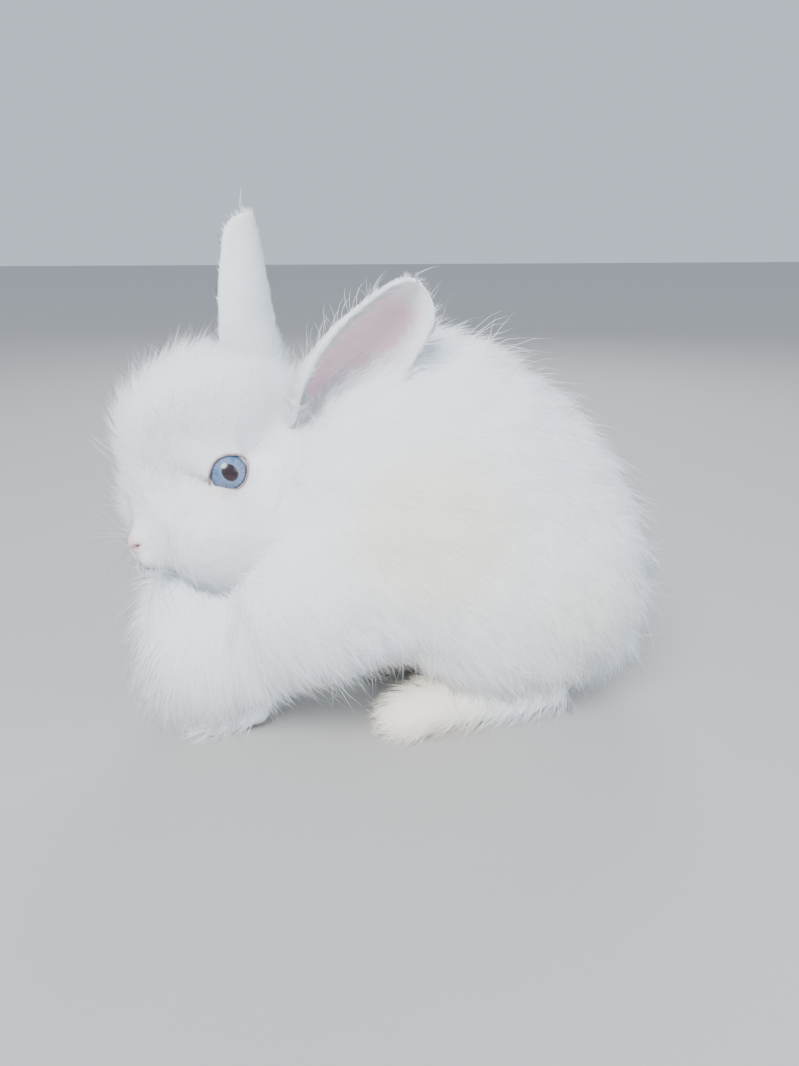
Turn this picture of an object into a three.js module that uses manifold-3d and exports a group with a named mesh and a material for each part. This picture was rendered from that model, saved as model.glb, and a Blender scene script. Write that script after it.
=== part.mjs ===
// A young angora rabbit, sitting, life size. Units are millimetres.
// +Z is up, the nose points to -X and the rabbit's left side is towards -Y.
// The origin is on the floor, under the middle of the rabbit's outer box.
// Each part of the body is a core, which is the skin with the inner half of the coat,
// and the outer half of the coat is flat tapered locks that grow from that core.
import * as THREE from "three";
import { mergeVertices } from "three/addons/utils/BufferGeometryUtils.js";
import Module from "manifold-3d";

const wasm = await Module();
wasm.setup();

// Driving dimensions
const GAP = 0.3;
const CORE_DEPTH = 7.5;
const HEAD_LENGTH = 72;
const BODY_LENGTH = 153;
const BODY_HEIGHT = 114;
const BODY_HALF_WIDTH = 35;
const EAR_HALF_WIDTH = 12.5;
const EAR_THICKNESS = 2.6;
const EYE_RADIUS = 7;
const LID_THICKNESS = 1.5;
const FOOT_LENGTH = 66;
const FOOT_HEIGHT = 15;
const FLOOR = 0;

// How the head is held
const NOSE = new THREE.Vector3(-77, -12, 65);
const HEAD_YAW = THREE.MathUtils.degToRad(24);
const HEAD_PITCH = THREE.MathUtils.degToRad(15);

const UP = new THREE.Vector3(0, 0, 1);
const vec = (x, y, z) => new THREE.Vector3(x, y, z);
const mix = (a, b, t) => a + (b - a) * t;

// A seeded draw from 0 to 1, so that every run gives the same coat.
function drawFrom(seed) {
  let state = seed;
  return () => {
    state = (state + 0x6d2b79f5) | 0;
    let mixed = Math.imul(state ^ (state >>> 15), 1 | state);
    mixed = (mixed + Math.imul(mixed ^ (mixed >>> 7), 61 | mixed)) ^ mixed;
    return ((mixed ^ (mixed >>> 14)) >>> 0) / 2 ** 32;
  };
}

// A frame with its own back, left and up directions. Head sizes are measured in it from the nose.
function makeFrame(origin, yaw, pitch) {
  const ahead = vec(-Math.cos(yaw), -Math.sin(yaw), 0);
  const forward = ahead.clone().multiplyScalar(Math.cos(pitch)).addScaledVector(UP, -Math.sin(pitch));
  const up = ahead.clone().multiplyScalar(Math.sin(pitch)).addScaledVector(UP, Math.cos(pitch));
  const back = forward.clone().negate();
  const left = vec(Math.sin(yaw), -Math.cos(yaw), 0);
  return { origin, back, left, up };
}

const at = (frame, back, left, up) =>
  frame.origin
    .clone()
    .addScaledVector(frame.back, back)
    .addScaledVector(frame.left, left)
    .addScaledVector(frame.up, up);

const HEAD = makeFrame(NOSE, HEAD_YAW, HEAD_PITCH);
const BODY = { origin: vec(0, 0, 0), back: vec(1, 0, 0), left: vec(0, -1, 0), up: UP };

// Solids from three.js geometry, and back
function solidOf(geometry) {
  const bare = geometry.index ? geometry.toNonIndexed() : geometry.clone();
  bare.deleteAttribute("normal");
  bare.deleteAttribute("uv");
  const merged = mergeVertices(bare, 1e-4);
  const vertProperties = new Float32Array(merged.attributes.position.array);
  const triVerts = new Uint32Array(merged.index.array);
  const made = new wasm.Manifold(new wasm.Mesh({ numProp: 3, vertProperties, triVerts }));
  return made.volume() < 0 ? solidOf(flipped(merged)) : made;
}

function flipped(geometry) {
  const copy = geometry.clone();
  const index = copy.index.array;
  for (let i = 0; i < index.length; i += 3) [index[i + 1], index[i + 2]] = [index[i + 2], index[i + 1]];
  return copy;
}

function geometryOf(solid) {
  const mesh = solid.getMesh();
  const geometry = new THREE.BufferGeometry();
  const places = new Float32Array(mesh.numVert * 3);
  for (let i = 0; i < mesh.numVert; i++) {
    places.set(mesh.vertProperties.subarray(i * mesh.numProp, i * mesh.numProp + 3), i * 3);
  }
  geometry.setAttribute("position", new THREE.BufferAttribute(places, 3));
  geometry.setIndex(new THREE.BufferAttribute(new Uint32Array(mesh.triVerts), 1));
  return geometry;
}

function largest(solid) {
  const bodies = solid.decompose();
  return bodies.reduce((best, body) => (body.volume() > best.volume() ? body : best));
}

const join = (solids) => wasm.Manifold.union(solids);

// A closed skin over rings of points, each ring with the same number of points.
function skinOver(rings) {
  const count = rings[0].length;
  const places = rings.flat().flatMap((p) => [p.x, p.y, p.z]);
  const faces = [];
  for (let i = 0; i + 1 < rings.length; i++) {
    for (let j = 0; j < count; j++) {
      const a = i * count + j;
      const b = i * count + ((j + 1) % count);
      faces.push(a, b, a + count, b, b + count, a + count);
    }
  }
  const last = (rings.length - 1) * count;
  for (let j = 1; j + 1 < count; j++) {
    faces.push(0, j + 1, j);
    faces.push(last, last + j, last + j + 1);
  }
  const geometry = new THREE.BufferGeometry();
  geometry.setAttribute("position", new THREE.Float32BufferAttribute(places, 3));
  geometry.setIndex(faces);
  return geometry;
}

// Catmull-Rom through rows of numbers, resampled to an even count of rows.
function smoothRows(rows, count) {
  const padded = [rows[0], ...rows, rows[rows.length - 1]];
  return Array.from({ length: count }, (_, k) => {
    const along = (k / (count - 1)) * (rows.length - 1);
    const i = Math.min(Math.floor(along), rows.length - 2);
    const t = along - i;
    return rows[0].map((_, column) => {
      const [p0, p1, p2, p3] = [0, 1, 2, 3].map((step) => padded[i + step][column]);
      const bend = 2 * p0 - 5 * p1 + 4 * p2 - p3;
      return 0.5 * (2 * p1 + (p2 - p0) * t + bend * t * t + (3 * p1 - p0 - 3 * p2 + p3) * t * t * t);
    });
  });
}

// A body form along its frame's back direction. A row is how far back it is, its half width,
// and the heights of its top, its widest level and its bottom. grow moves the surface outwards.
function loft(frame, rows, { rings = 16, sides = 20, grow = 0 } = {}) {
  const first = rows[0][0];
  const last = rows[rows.length - 1][0];
  const middle = (first + last) / 2;
  const stretch = 1 + (2 * grow) / (last - first);
  const made = smoothRows(rows, rings).map(([along, halfWidth, top, widest, bottom], k) => {
    const inner = k > 0 && k < rings - 1 ? grow : 0;
    return Array.from({ length: sides }, (_, j) => {
      const turn = (j / sides) * Math.PI * 2;
      const side = Math.cos(turn) * (Math.max(halfWidth, 0.3) + inner);
      const reach = Math.sin(turn) > 0 ? top - widest + inner : widest - bottom + inner;
      const height = widest + Math.sin(turn) * Math.max(reach, 0.3);
      return at(frame, middle + (along - middle) * stretch, side, height);
    });
  });
  return solidOf(skinOver(made));
}

// An ellipsoid placed in a frame, with its radii along the frame's own directions.
function ellipsoid(frame, place, radii, { grow = 0, detail = 14, pitch = 0, yaw = 0 } = {}) {
  const ball = new THREE.SphereGeometry(1, detail, Math.round(detail * 0.6));
  ball.rotateX(Math.PI / 2);
  ball.scale(radii[0] + grow, radii[1] + grow, radii[2] + grow);
  ball.rotateY(pitch);
  ball.rotateZ(yaw);
  const turn = new THREE.Matrix4().makeBasis(frame.back, frame.left, frame.up);
  ball.applyMatrix4(turn.setPosition(at(frame, ...place)));
  return solidOf(ball);
}

// Signed measures of the space each part of the body owns, in millimetres, positive inside
const above = (point, normal) => (p) => p.clone().sub(point).dot(normal);
const outsideOf = (inside) => (p) => -inside(p);
const allOf = (...parts) => (p) => Math.min(...parts.map((part) => part(p)));
const anyOf = (...parts) => (p) => Math.max(...parts.map((part) => part(p)));

function insideOval({ centre, radii }) {
  const [x, y, z] = radii;
  return (p) => {
    const d = p.clone().sub(centre);
    return (1 - Math.hypot(d.x / x, d.y / y, d.z / z)) * Math.min(x, y, z);
  };
}

function insideCapsule(from, to, radius) {
  const line = new THREE.Line3(from, to);
  return (p) => radius - p.distanceTo(line.closestPointToPoint(p, true, vec(0, 0, 0)));
}

// Moves a point until it is at least margin inside a space.
function keptInside(space, point, margin) {
  const p = point.clone();
  const step = 0.2;
  for (let round = 0; round < 12; round++) {
    const lack = margin - space(p);
    if (lack <= 0) break;
    const slope = vec(
      space(p.clone().add(vec(step, 0, 0))) - space(p.clone().add(vec(-step, 0, 0))),
      space(p.clone().add(vec(0, step, 0))) - space(p.clone().add(vec(0, -step, 0))),
      space(p.clone().add(vec(0, 0, step))) - space(p.clone().add(vec(0, 0, -step))),
    );
    if (slope.lengthSq() < 1e-9) break;
    p.addScaledVector(slope.normalize(), lack + 0.05);
  }
  return p;
}

// Big solids that fill one side of a plane, or a room, for parting the body
const FAR = 400;

function fillAbove(point, normal, inset) {
  const block = new THREE.BoxGeometry(FAR, FAR, FAR);
  block.translate(0, 0, FAR / 2);
  block.applyQuaternion(new THREE.Quaternion().setFromUnitVectors(UP, normal));
  const foot = point.clone().addScaledVector(normal, inset);
  block.translate(foot.x, foot.y, foot.z);
  return solidOf(block);
}

const fillOval = ({ centre, radii }, inset) =>
  ellipsoid({ ...BODY, origin: centre }, [0, 0, 0], radii, { grow: -inset, detail: 14 });

// Where the body parts. The head sits in a round hollow of the neck, the neck in one of the torso,
// and each haunch is the round form at the side of the rump.
const HEAD_ROOM = { centre: vec(-48, 0, 83), radii: [46, 46, 40] };
const NECK_ROOM = { centre: vec(-34, 1, 79), radii: [49, 50, 45] };
const HAUNCH_ROOM = { place: [42, 52, 42], radii: [45, 40, 41] };
const AHEAD_AND_UP = vec(-0.7, 0, 0.71).normalize();

// The cores
const TORSO_ROWS = [
  [-70, 1, 41, 38, 34],
  [-68.5, 13, 46, 36, 27],
  [-60, 21, 49, 34, 19],
  [-40, 26, 62, 38, 17],
  [-18, 30, 98, 44, 22],
  [4, 33, 115, 50, 27],
  [28, BODY_HALF_WIDTH, BODY_HEIGHT, 50, 22],
  [52, 33, 97, 47, 15],
  [68, 27, 79, 43, 13],
  [78, 16, 60, 40, 20],
  [-70 + BODY_LENGTH, 1, 42, 41, 40],
];

const HEAD_ROWS = [
  [0, 0.8, 1.5, 0, -1.5],
  [0.6, 3.6, 4, 0, -5],
  [3, 6.2, 7, -0.5, -9],
  [9, 10.5, 12, -2.5, -14.5],
  [18, 16, 18.5, -4, -20],
  [28, 21, 25, -4.5, -23],
  [38, 24, 31, -3.5, -23.5],
  [50, 23, 33.5, 0, -21],
  [61, 17.5, 29, 4, -13],
  [69, 10, 21, 5, -5],
  [HEAD_LENGTH, 1, 7, 6, 5],
];
const SHOULDER = { place: [-24, 24, 48], radii: [19, 12, 19] };
const HAUNCH = { place: [38, 24, 48], radii: [33, 14, 29] };
const FOREHEAD = { place: [39, 0, 20], radii: [26, 23, 25] };
const CHEEK = { place: [22, 20.5, -1], radii: [18, 16, 18] };
const NECK = { place: [-12, -3, 78], radii: [27, 27, 27] };

const mirrored = ([back, left, up], side) => [back, side * left, up];

const torsoCore = (grow = 0) =>
  join([
    loft(BODY, TORSO_ROWS, { rings: 16, sides: 18, grow: CORE_DEPTH + grow }),
    ...[1, -1].map((side) =>
      ellipsoid(BODY, mirrored(SHOULDER.place, side), SHOULDER.radii, { grow: CORE_DEPTH + grow }),
    ),
  ]);

const headCore = (grow = 0) =>
  join([
    loft(HEAD, HEAD_ROWS, { rings: 18, sides: 16, grow }),
    ellipsoid(HEAD, FOREHEAD.place, FOREHEAD.radii, { grow }),
    ...[1, -1].map((side) => ellipsoid(HEAD, mirrored(CHEEK.place, side), CHEEK.radii, { grow })),
  ]);

const neckCore = (grow = 0) => ellipsoid(BODY, NECK.place, NECK.radii, { grow, detail: 16 });

const haunchCore = (side, grow = 0) =>
  ellipsoid(BODY, mirrored(HAUNCH.place, side), HAUNCH.radii, { grow: CORE_DEPTH + grow, detail: 16 });

const wholeCore = (grow = 0) =>
  join([torsoCore(grow), haunchCore(1, grow), haunchCore(-1, grow), neckCore(grow), headCore(grow)]);

// The ears are curled sheets, more tubular at the root and open towards the tip. A row is how far
// along the ear it is, its half width as a share of the widest, and half of the curl's turn in degrees.
const EAR_ROWS = [
  [0, 0.5, 150],
  [0.12, 0.55, 140],
  [0.28, 0.8, 112],
  [0.45, 0.98, 92],
  [0.62, 1, 84],
  [0.78, 0.9, 76],
  [0.9, 0.7, 70],
  [0.97, 0.44, 64],
  [1, 0.18, 60],
];

function ear({ base, tip, opening }, grow = 0) {
  const [rings, steps] = [11, 6];
  const along = tip.clone().sub(base).normalize();
  const open = opening.clone().addScaledVector(along, -opening.dot(along)).normalize();
  const side = along.clone().cross(open);
  const made = smoothRows(EAR_ROWS, rings).map(([share, width, halfTurn]) => {
    const turn = THREE.MathUtils.degToRad(halfTurn);
    const radius = (width * EAR_HALF_WIDTH) / Math.sin(Math.min(turn, Math.PI / 2));
    const half = (EAR_THICKNESS / 2) * mix(1.15, 0.75, share) + grow;
    const spine = base.clone().lerp(tip, share);
    spine.addScaledVector(open, -EAR_BOW * Math.sin(share * Math.PI));
    const point = (angle, reach) =>
      spine
        .clone()
        .addScaledVector(open, radius - Math.cos(angle) * reach)
        .addScaledVector(side, Math.sin(angle) * reach);
    const angles = Array.from({ length: steps }, (_, j) => mix(-turn, turn, j / (steps - 1)));
    const rim = turn + (half * 0.8) / radius;
    return [
      ...angles.map((angle) => point(angle, radius + half)),
      point(rim, radius),
      ...angles.toReversed().map((angle) => point(angle, Math.max(radius - half, 0.4))),
      point(-rim, radius),
    ];
  });
  return solidOf(capped(made, steps));
}

// Closes a curled sheet's two ends with strips between its outer and its inner face.
function capped(rings, steps) {
  const count = rings[0].length;
  const body = skinOver(rings);
  const faces = Array.from(body.index.array).slice(0, (rings.length - 1) * count * 6);
  const last = (rings.length - 1) * count;
  for (let j = 0; j + 1 < steps; j++) {
    const [a, b] = [j, j + 1];
    const [c, d] = [2 * steps - j, 2 * steps - j - 1];
    faces.push(a, c, b, b, c, d);
    faces.push(last + a, last + b, last + c, last + b, last + d, last + c);
  }
  faces.push(0, count - 1, count - 2, steps - 1, steps + 1, steps);
  faces.push(last, last + count - 2, last + count - 1, last + steps - 1, last + steps, last + steps + 1);
  body.setIndex(faces);
  return body;
}

const EAR_BOW = 2;
const EARS = {
  left: { base: at(HEAD, 58, 12, 22), tip: vec(9, -23, 141.5), opening: vec(0.15, -0.97, -0.15) },
  right: { base: at(HEAD, 55, -11, 24), tip: vec(-35.5, 17, 161), opening: vec(-0.95, 0.3, 0) },
};

// The eyes, and the lids round them
const EYE_PLACE = [33, 9.4, 13.2];
const LID_OPENING = { halfWidth: 5.9, halfHeight: 5.1, tilt: THREE.MathUtils.degToRad(18) };
const LID_PLUG = { ahead: 2, length: 14 };
const EYE_HOLLOW = { ahead: 17.5, radius: 13 };

const eyeCentre = (side) => at(HEAD, EYE_PLACE[0], side * EYE_PLACE[1], EYE_PLACE[2]);

const eyeLooks = (side) =>
  vec(0, 0, 0)
    .addScaledVector(HEAD.left, side * 0.92)
    .addScaledVector(HEAD.back, -0.3)
    .addScaledVector(HEAD.up, 0.2)
    .normalize();

function ball(centre, radius, detail) {
  const sphere = new THREE.SphereGeometry(radius, detail, Math.round(detail * 0.66));
  return solidOf(sphere.translate(centre.x, centre.y, centre.z));
}

// The short-haired hollow that each eye sits in
function eyeHollow(side) {
  const centre = eyeCentre(side).addScaledVector(eyeLooks(side), EYE_HOLLOW.ahead);
  return ball(centre, EYE_HOLLOW.radius, 16);
}
const eyeHollows = () => join([eyeHollow(1), eyeHollow(-1)]);

// The almond-shaped plug that opens the lids, with a corner at its front and its back.
function lidPlug(side) {
  const { halfWidth, halfHeight, tilt } = LID_OPENING;
  const steps = 16;
  const outline = Array.from({ length: steps }, (_, k) => {
    const turn = (k / steps) * Math.PI * 2;
    const corner = 1 + 0.16 * Math.cos(turn) ** 8;
    return new THREE.Vector2(Math.cos(turn) * halfWidth * corner, Math.sin(turn) * halfHeight);
  });
  const options = { depth: LID_PLUG.length, bevelEnabled: false, steps: 1 };
  const plug = new THREE.ExtrudeGeometry(new THREE.Shape(outline), options);
  plug.rotateZ(side * tilt);
  const looks = eyeLooks(side);
  const across = HEAD.back.clone().addScaledVector(looks, -HEAD.back.dot(looks)).normalize();
  const turn = new THREE.Matrix4().makeBasis(across, looks.clone().cross(across), looks);
  plug.translate(0, 0, LID_PLUG.ahead);
  return solidOf(plug.applyMatrix4(turn.setPosition(eyeCentre(side))));
}

// A groove cut along a curve through points given in the head's frame.
function groove(points, radius) {
  const path = new THREE.CatmullRomCurve3(points.map((point) => at(HEAD, ...point)));
  const outline = Array.from({ length: 6 }, (_, k) => {
    const turn = (k / 6) * Math.PI * 2;
    return new THREE.Vector2(Math.cos(turn) * radius, Math.sin(turn) * radius);
  });
  const options = { steps: 12, bevelEnabled: false, extrudePath: path };
  return solidOf(new THREE.ExtrudeGeometry(new THREE.Shape(outline), options));
}

const MOUTH_DEPTH = 0.7;
const MOUTH_LINE = [
  [13.5, 10.5, -10.8],
  [9, 9, -10.2],
  [4.5, 6, -8.8],
  [2.2, 0, -7.2],
  [4.5, -6, -8.8],
  [9, -9, -10.2],
  [13.5, -10.5, -10.8],
];

// Lips, whisker pads, chin and nose, and what is cut into them
const LIP = { place: [4.4, 3.3, -4.2], radii: [4.4, 3.9, 4.4] };
const WHISKER_PAD = { place: [10, 6.4, -3.6], radii: [8, 4.8, 6] };
const CHIN = { place: [10, 0, -11.6], radii: [6.2, 5.4, 4] };
const NOSE_PAD = { place: [1.4, 0, 1], radii: [2.2, 3.8, 2.8] };
const NOSTRIL = { place: [0.4, 2.5, 0.2], radii: [2.4, 0.75, 1.5], yaw: 0.5 };
const PHILTRUM = { place: [-0.6, 0, -3.4], radii: [2, 0.55, 4] };

const onHead = ({ place, radii }, side = 1) => ellipsoid(HEAD, mirrored(place, side), radii);

function face() {
  const pairs = [1, -1].flatMap((side) => [
    onHead(LIP, side),
    onHead(WHISKER_PAD, side),
    ball(eyeCentre(side), EYE_RADIUS + LID_THICKNESS, 14),
  ]);
  return join([...pairs, onHead(CHIN), onHead(NOSE_PAD)]);
}

function faceCuts() {
  const nostrils = [1, -1].map((side) => {
    const options = { detail: 10, yaw: side * NOSTRIL.yaw };
    return ellipsoid(HEAD, mirrored(NOSTRIL.place, side), NOSTRIL.radii, options);
  });
  const philtrum = ellipsoid(HEAD, PHILTRUM.place, PHILTRUM.radii, { detail: 10 });
  const sockets = [1, -1].flatMap((side) => [ball(eyeCentre(side), EYE_RADIUS + GAP, 14), lidPlug(side)]);
  return join([...nostrils, philtrum, groove(MOUTH_LINE, MOUTH_DEPTH), ...sockets]);
}

// Legs and tail. A hind foot's frame starts at its toes.
const FOOT_ROWS = [
  [0, 1, 7, 6, 5],
  [1, 5.6, 9.8, 5.8, 1],
  [6, 8.4, 13, 6.4, -1],
  [18, 9.6, FOOT_HEIGHT, 7, -1.5],
  [36, 9.2, FOOT_HEIGHT, 7, -1.5],
  [54, 8, 14.4, 6.6, -1],
  [62.5, 5.6, 11.6, 6.4, 1],
  [FOOT_LENGTH - 1, 1, 7.6, 6.8, 6],
];
const FOOT_TOES = [-6.2, -2.2, 2.2, 6];
const FOOT_TOE = { radii: [7.6, 3.1, 5.6], detail: 8 };
const FOOT_TURN = THREE.MathUtils.degToRad(6);
const footFrame = (side) => makeFrame(vec(-1.5, -side * 25.5, FLOOR), side * FOOT_TURN, 0);

const PAW_ROWS = [
  [0, 1, 5.5, 5, 4.5],
  [1, 4.6, 8, 4.8, 1],
  [6, 6.8, 10, 5.4, -1],
  [14, 7, 11.4, 5.6, -1],
  [21, 5.6, 11, 5.6, 1],
  [24, 1, 6.6, 6, 5.4],
];
const PAW_TOES = [-4.6, -1.6, 1.6, 4.4];
const PAW_TOE = { radii: [5.2, 2.2, 4], detail: 7 };
const PAW_TURN = THREE.MathUtils.degToRad(4);
const ARM_SLOPE = THREE.MathUtils.degToRad(60);
const ARM_ROWS = [
  [0, 1, 1, 0, -1],
  [1.5, 5.4, 5.6, 0, -5.6],
  [14, 6.2, 6.8, 0, -6.8],
  [30, 8, 8.6, 0, -8.6],
  [42, 8, 9, 0, -9],
  [44, 1, 1, 0, -1],
];
const pawFrame = (side) => makeFrame(vec(-61, -side * 11.5, FLOOR), side * PAW_TURN, 0);
const armFrame = (side) => makeFrame(vec(-45, -side * 11, 5), 0, ARM_SLOPE);

const toes = (frame, places, { radii, detail }, grow) =>
  places.map((left) => {
    const place = [radii[0] - 1.6 + Math.abs(left) * 0.25, left, radii[2] * 0.86];
    return ellipsoid(frame, place, radii, { grow, detail });
  });

const footLoft = (side, grow = 0) =>
  loft(footFrame(side), FOOT_ROWS, { rings: 10, sides: 12, grow });

const hindFoot = (side, grow = 0) =>
  join([footLoft(side, grow), ...toes(footFrame(side), FOOT_TOES, FOOT_TOE, grow)]);

const foreleg = (side, grow = 0) =>
  join([
    loft(pawFrame(side), PAW_ROWS, { rings: 6, sides: 10, grow }),
    loft(armFrame(side), ARM_ROWS, { rings: 4, sides: 8, grow }),
    ...toes(pawFrame(side), PAW_TOES, PAW_TOE, grow),
  ]);

const TAIL_PLACE = [86, -2, 30];
const TAIL_RADII = [8.5, 8, 13];
const tailCore = (grow = 0) => ellipsoid(BODY, TAIL_PLACE, TAIL_RADII, { grow, pitch: 0.25 });

// The room each part keeps, as a measure for where its locks root and as a cut for its core
const halfGap = GAP / 2;
const haunchRoom = (side) => ({
  centre: at(BODY, ...mirrored(HAUNCH_ROOM.place, side)),
  radii: HAUNCH_ROOM.radii,
});
const inHead = anyOf(insideOval(HEAD_ROOM), above(HEAD_ROOM.centre, AHEAD_AND_UP));
const inNeck = allOf(insideOval(NECK_ROOM), outsideOf(inHead));
const behindNeck = allOf(outsideOf(inHead), outsideOf(insideOval(NECK_ROOM)));
const inHaunch = (side) => allOf(behindNeck, insideOval(haunchRoom(side)));
const inTorso = allOf(behindNeck, ...[1, -1].map((side) => outsideOf(insideOval(haunchRoom(side)))));

const fillHead = (inset) =>
  join([fillOval(HEAD_ROOM, inset), fillAbove(HEAD_ROOM.centre, AHEAD_AND_UP, inset)]);
const cutToHead = (solid) => solid.intersect(fillHead(halfGap));
const cutToNeck = (solid) => solid.intersect(fillOval(NECK_ROOM, halfGap)).subtract(fillHead(-halfGap));
const cutBehindNeck = (solid) =>
  solid.subtract(join([fillOval(NECK_ROOM, -halfGap), fillHead(-halfGap)]));
const cutToHaunch = (side) => (solid) =>
  cutBehindNeck(solid).intersect(fillOval(haunchRoom(side), halfGap));
const cutToTorso = (solid) =>
  [1, -1].reduce((kept, side) => kept.subtract(fillOval(haunchRoom(side), -halfGap)), cutBehindNeck(solid));

// Ways the coat lies, as a direction for a place on the body
const muzzle = at(HEAD, 4, 0, -2);
const throat = vec(-46, -3, 56);
const awayFrom = (centre, drop) => (p) => p.clone().sub(centre).normalize().addScaledVector(UP, -drop);

// Near the floor the coat lies outwards instead of down.
const offFloor = (lie) => (p) => {
  const flow = lie(p);
  flow.z *= THREE.MathUtils.smoothstep(p.z, 4, 30);
  return flow;
};

function bodyLie(p) {
  const towardsRump = THREE.MathUtils.smoothstep(p.x, 40, 90);
  const down = mix(THREE.MathUtils.clamp((104 - p.z) / 55, 0.05, 1.1), 1.3, towardsRump);
  return vec(1, Math.sign(p.y) * 0.12, -down);
}

const overBody = offFloor(bodyLie);
const downChest = offFloor(awayFrom(throat, 0.4));
const overCheek = awayFrom(muzzle, 0.1);
const overBrow = awayFrom(muzzle, 0);
const upTail = () => vec(0.35, 0, 1);
const toToes = () => vec(-1, 0, -0.1);

// The kinds of lock: how wide, long and thick, how far apart, the angle in degrees at which they
// leave the core, and the way they lie.
const LOCKS = {
  body: { width: 16, length: 29, thickness: 3.4, apart: 18, stand: 42, lie: overBody },
  under: { width: 14, length: 15, thickness: 3, apart: 19, stand: 28, lie: overBody },
  bib: { width: 14.5, length: 27, thickness: 3.4, apart: 14, stand: 46, lie: downChest },
  nape: { width: 13.5, length: 22, thickness: 3, apart: 14.8, stand: 42, lie: bodyLie },
  cheek: { width: 11.5, length: 19, thickness: 2.6, apart: 13.2, stand: 50, lie: overCheek },
  jaw: { width: 10.5, length: 13, thickness: 2, apart: 13, stand: 26, lie: overCheek },
  brow: { width: 10.5, length: 21, thickness: 2.6, apart: 12.6, stand: 68, lie: overBrow },
  tail: { width: 10, length: 14, thickness: 2.2, apart: 10, stand: 38, lie: upTail },
  foot: { width: 7.5, length: 10, thickness: 1.6, apart: 11, stand: 20, lie: toToes },
  ear: { width: 6, length: 11, thickness: 1.6, stand: 10, sunk: 0.5 },
};
const SUNK = 2.6;
const DROOP = 0.42;
const WIDTHS = [0.8, 1, 0.62];
const STATIONS = [0, 0.4, 0.75];

// What differs by chance from one lock to the next
const chance = (draw) => ({
  size: mix(0.82, 1.16, draw()),
  turned: mix(-0.38, 0.38, draw()),
  curl: mix(-0.45, 0.45, draw()),
  lift: mix(0.8, 1.2, draw()),
});

// A flat, tapered lock with a low ridge, which leaves the core at root, bends over and comes to a
// tip. grow makes it bigger all round, for cutting room for it in its neighbours.
function lock({ root, normal, style, lie, size, turned, curl, lift, room }, grow = 0) {
  const along = lie.clone().addScaledVector(normal, -lie.dot(normal)).normalize();
  along.addScaledVector(along.clone().cross(normal), turned).normalize();
  const side = along.clone().cross(normal).normalize();
  const stand = THREE.MathUtils.degToRad(style.stand * lift);
  const sunk = style.sunk ?? SUNK;
  const length = style.length * size + sunk;
  const spine = root.clone().addScaledVector(normal, -sunk).addScaledVector(along, -sunk);
  const headingAt = (share) => {
    const angle = stand * (1 - 0.72 * share);
    const heading = along.clone().multiplyScalar(Math.cos(angle));
    heading.addScaledVector(normal, Math.sin(angle)).addScaledVector(side, curl * share);
    return heading.addScaledVector(UP, -DROOP * share * share).normalize();
  };
  const rings = STATIONS.map((share, k) => {
    const heading = headingAt(share);
    if (k > 0) spine.addScaledVector(heading, (share - STATIONS[k - 1]) * length);
    const facing = side.clone().cross(heading).normalize();
    if (facing.dot(normal) < 0) facing.negate();
    const half = (style.width / 2) * WIDTHS[k] * Math.sqrt(size) + 3 * grow;
    const middle = k > 0 ? keptInside(room, spine, 1) : spine.clone();
    const low = -0.35 * style.thickness - 1.3 * grow;
    const ridge = style.thickness * mix(0.75, 0.4, share) + 1.3 * grow;
    const corners = [
      middle.clone().addScaledVector(side, half).addScaledVector(facing, low * (1 - share)),
      middle.clone().addScaledVector(facing, ridge),
      middle.clone().addScaledVector(side, -half).addScaledVector(facing, low * (1 - share)),
    ];
    return k > 0 ? corners.map((corner) => keptInside(room, corner, 0.25)) : corners;
  });
  spine.addScaledVector(headingAt(1), (1 - STATIONS[2]) * length + 4 * grow);
  return solidOf(spiked(rings, keptInside(room, spine, 0.3)));
}

// A closed skin over rings that end in one point
function spiked(rings, tip) {
  const count = rings[0].length;
  const open = skinOver(rings);
  const tipIndex = rings.length * count;
  const faces = Array.from(open.index.array).slice(0, (rings.length - 1) * count * 6);
  for (let j = 1; j + 1 < count; j++) faces.push(0, j + 1, j);
  const last = tipIndex - count;
  for (let j = 0; j < count; j++) faces.push(last + j, last + ((j + 1) % count), tipIndex);
  const places = [...open.attributes.position.array, tip.x, tip.y, tip.z];
  open.setAttribute("position", new THREE.Float32BufferAttribute(places, 3));
  open.setIndex(faces);
  return open;
}

// Spreads locks evenly, but not in rows, over a solid's surface. styleAt says which kind of lock,
// if any, grows at a place, and room is where its points may go.
function spread(solid, { seed, styleAt, room }) {
  const draw = drawFrom(seed);
  const corners = geometryOf(solid).toNonIndexed().attributes.position.array;
  const corner = (i) => vec(corners[i * 3], corners[i * 3 + 1], corners[i * 3 + 2]);
  const faces = [];
  let area = 0;
  for (let i = 0; i < corners.length / 3; i += 3) {
    const triangle = new THREE.Triangle(corner(i), corner(i + 1), corner(i + 2));
    area += triangle.getArea();
    faces.push({ triangle, upTo: area });
  }
  const locks = [];
  for (let k = 0; k < COAT_TRIES; k++) {
    const target = draw() * area;
    const [u, v] = [Math.sqrt(draw()), draw()];
    const { triangle } = faces.find((face) => face.upTo >= target) ?? faces[0];
    const root = vec(0, 0, 0)
      .addScaledVector(triangle.a, 1 - u)
      .addScaledVector(triangle.b, u * (1 - v))
      .addScaledVector(triangle.c, u * v);
    const normal = triangle.getNormal(vec(0, 0, 0));
    const style = styleAt(root, normal);
    if (!style) continue;
    const clear = (other) => other.root.distanceTo(root) > (style.apart + other.style.apart) / 2;
    if (!locks.every(clear)) continue;
    locks.push({ root, normal, style, lie: style.lie(root), room, ...chance(draw) });
  }
  return locks;
}

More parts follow.
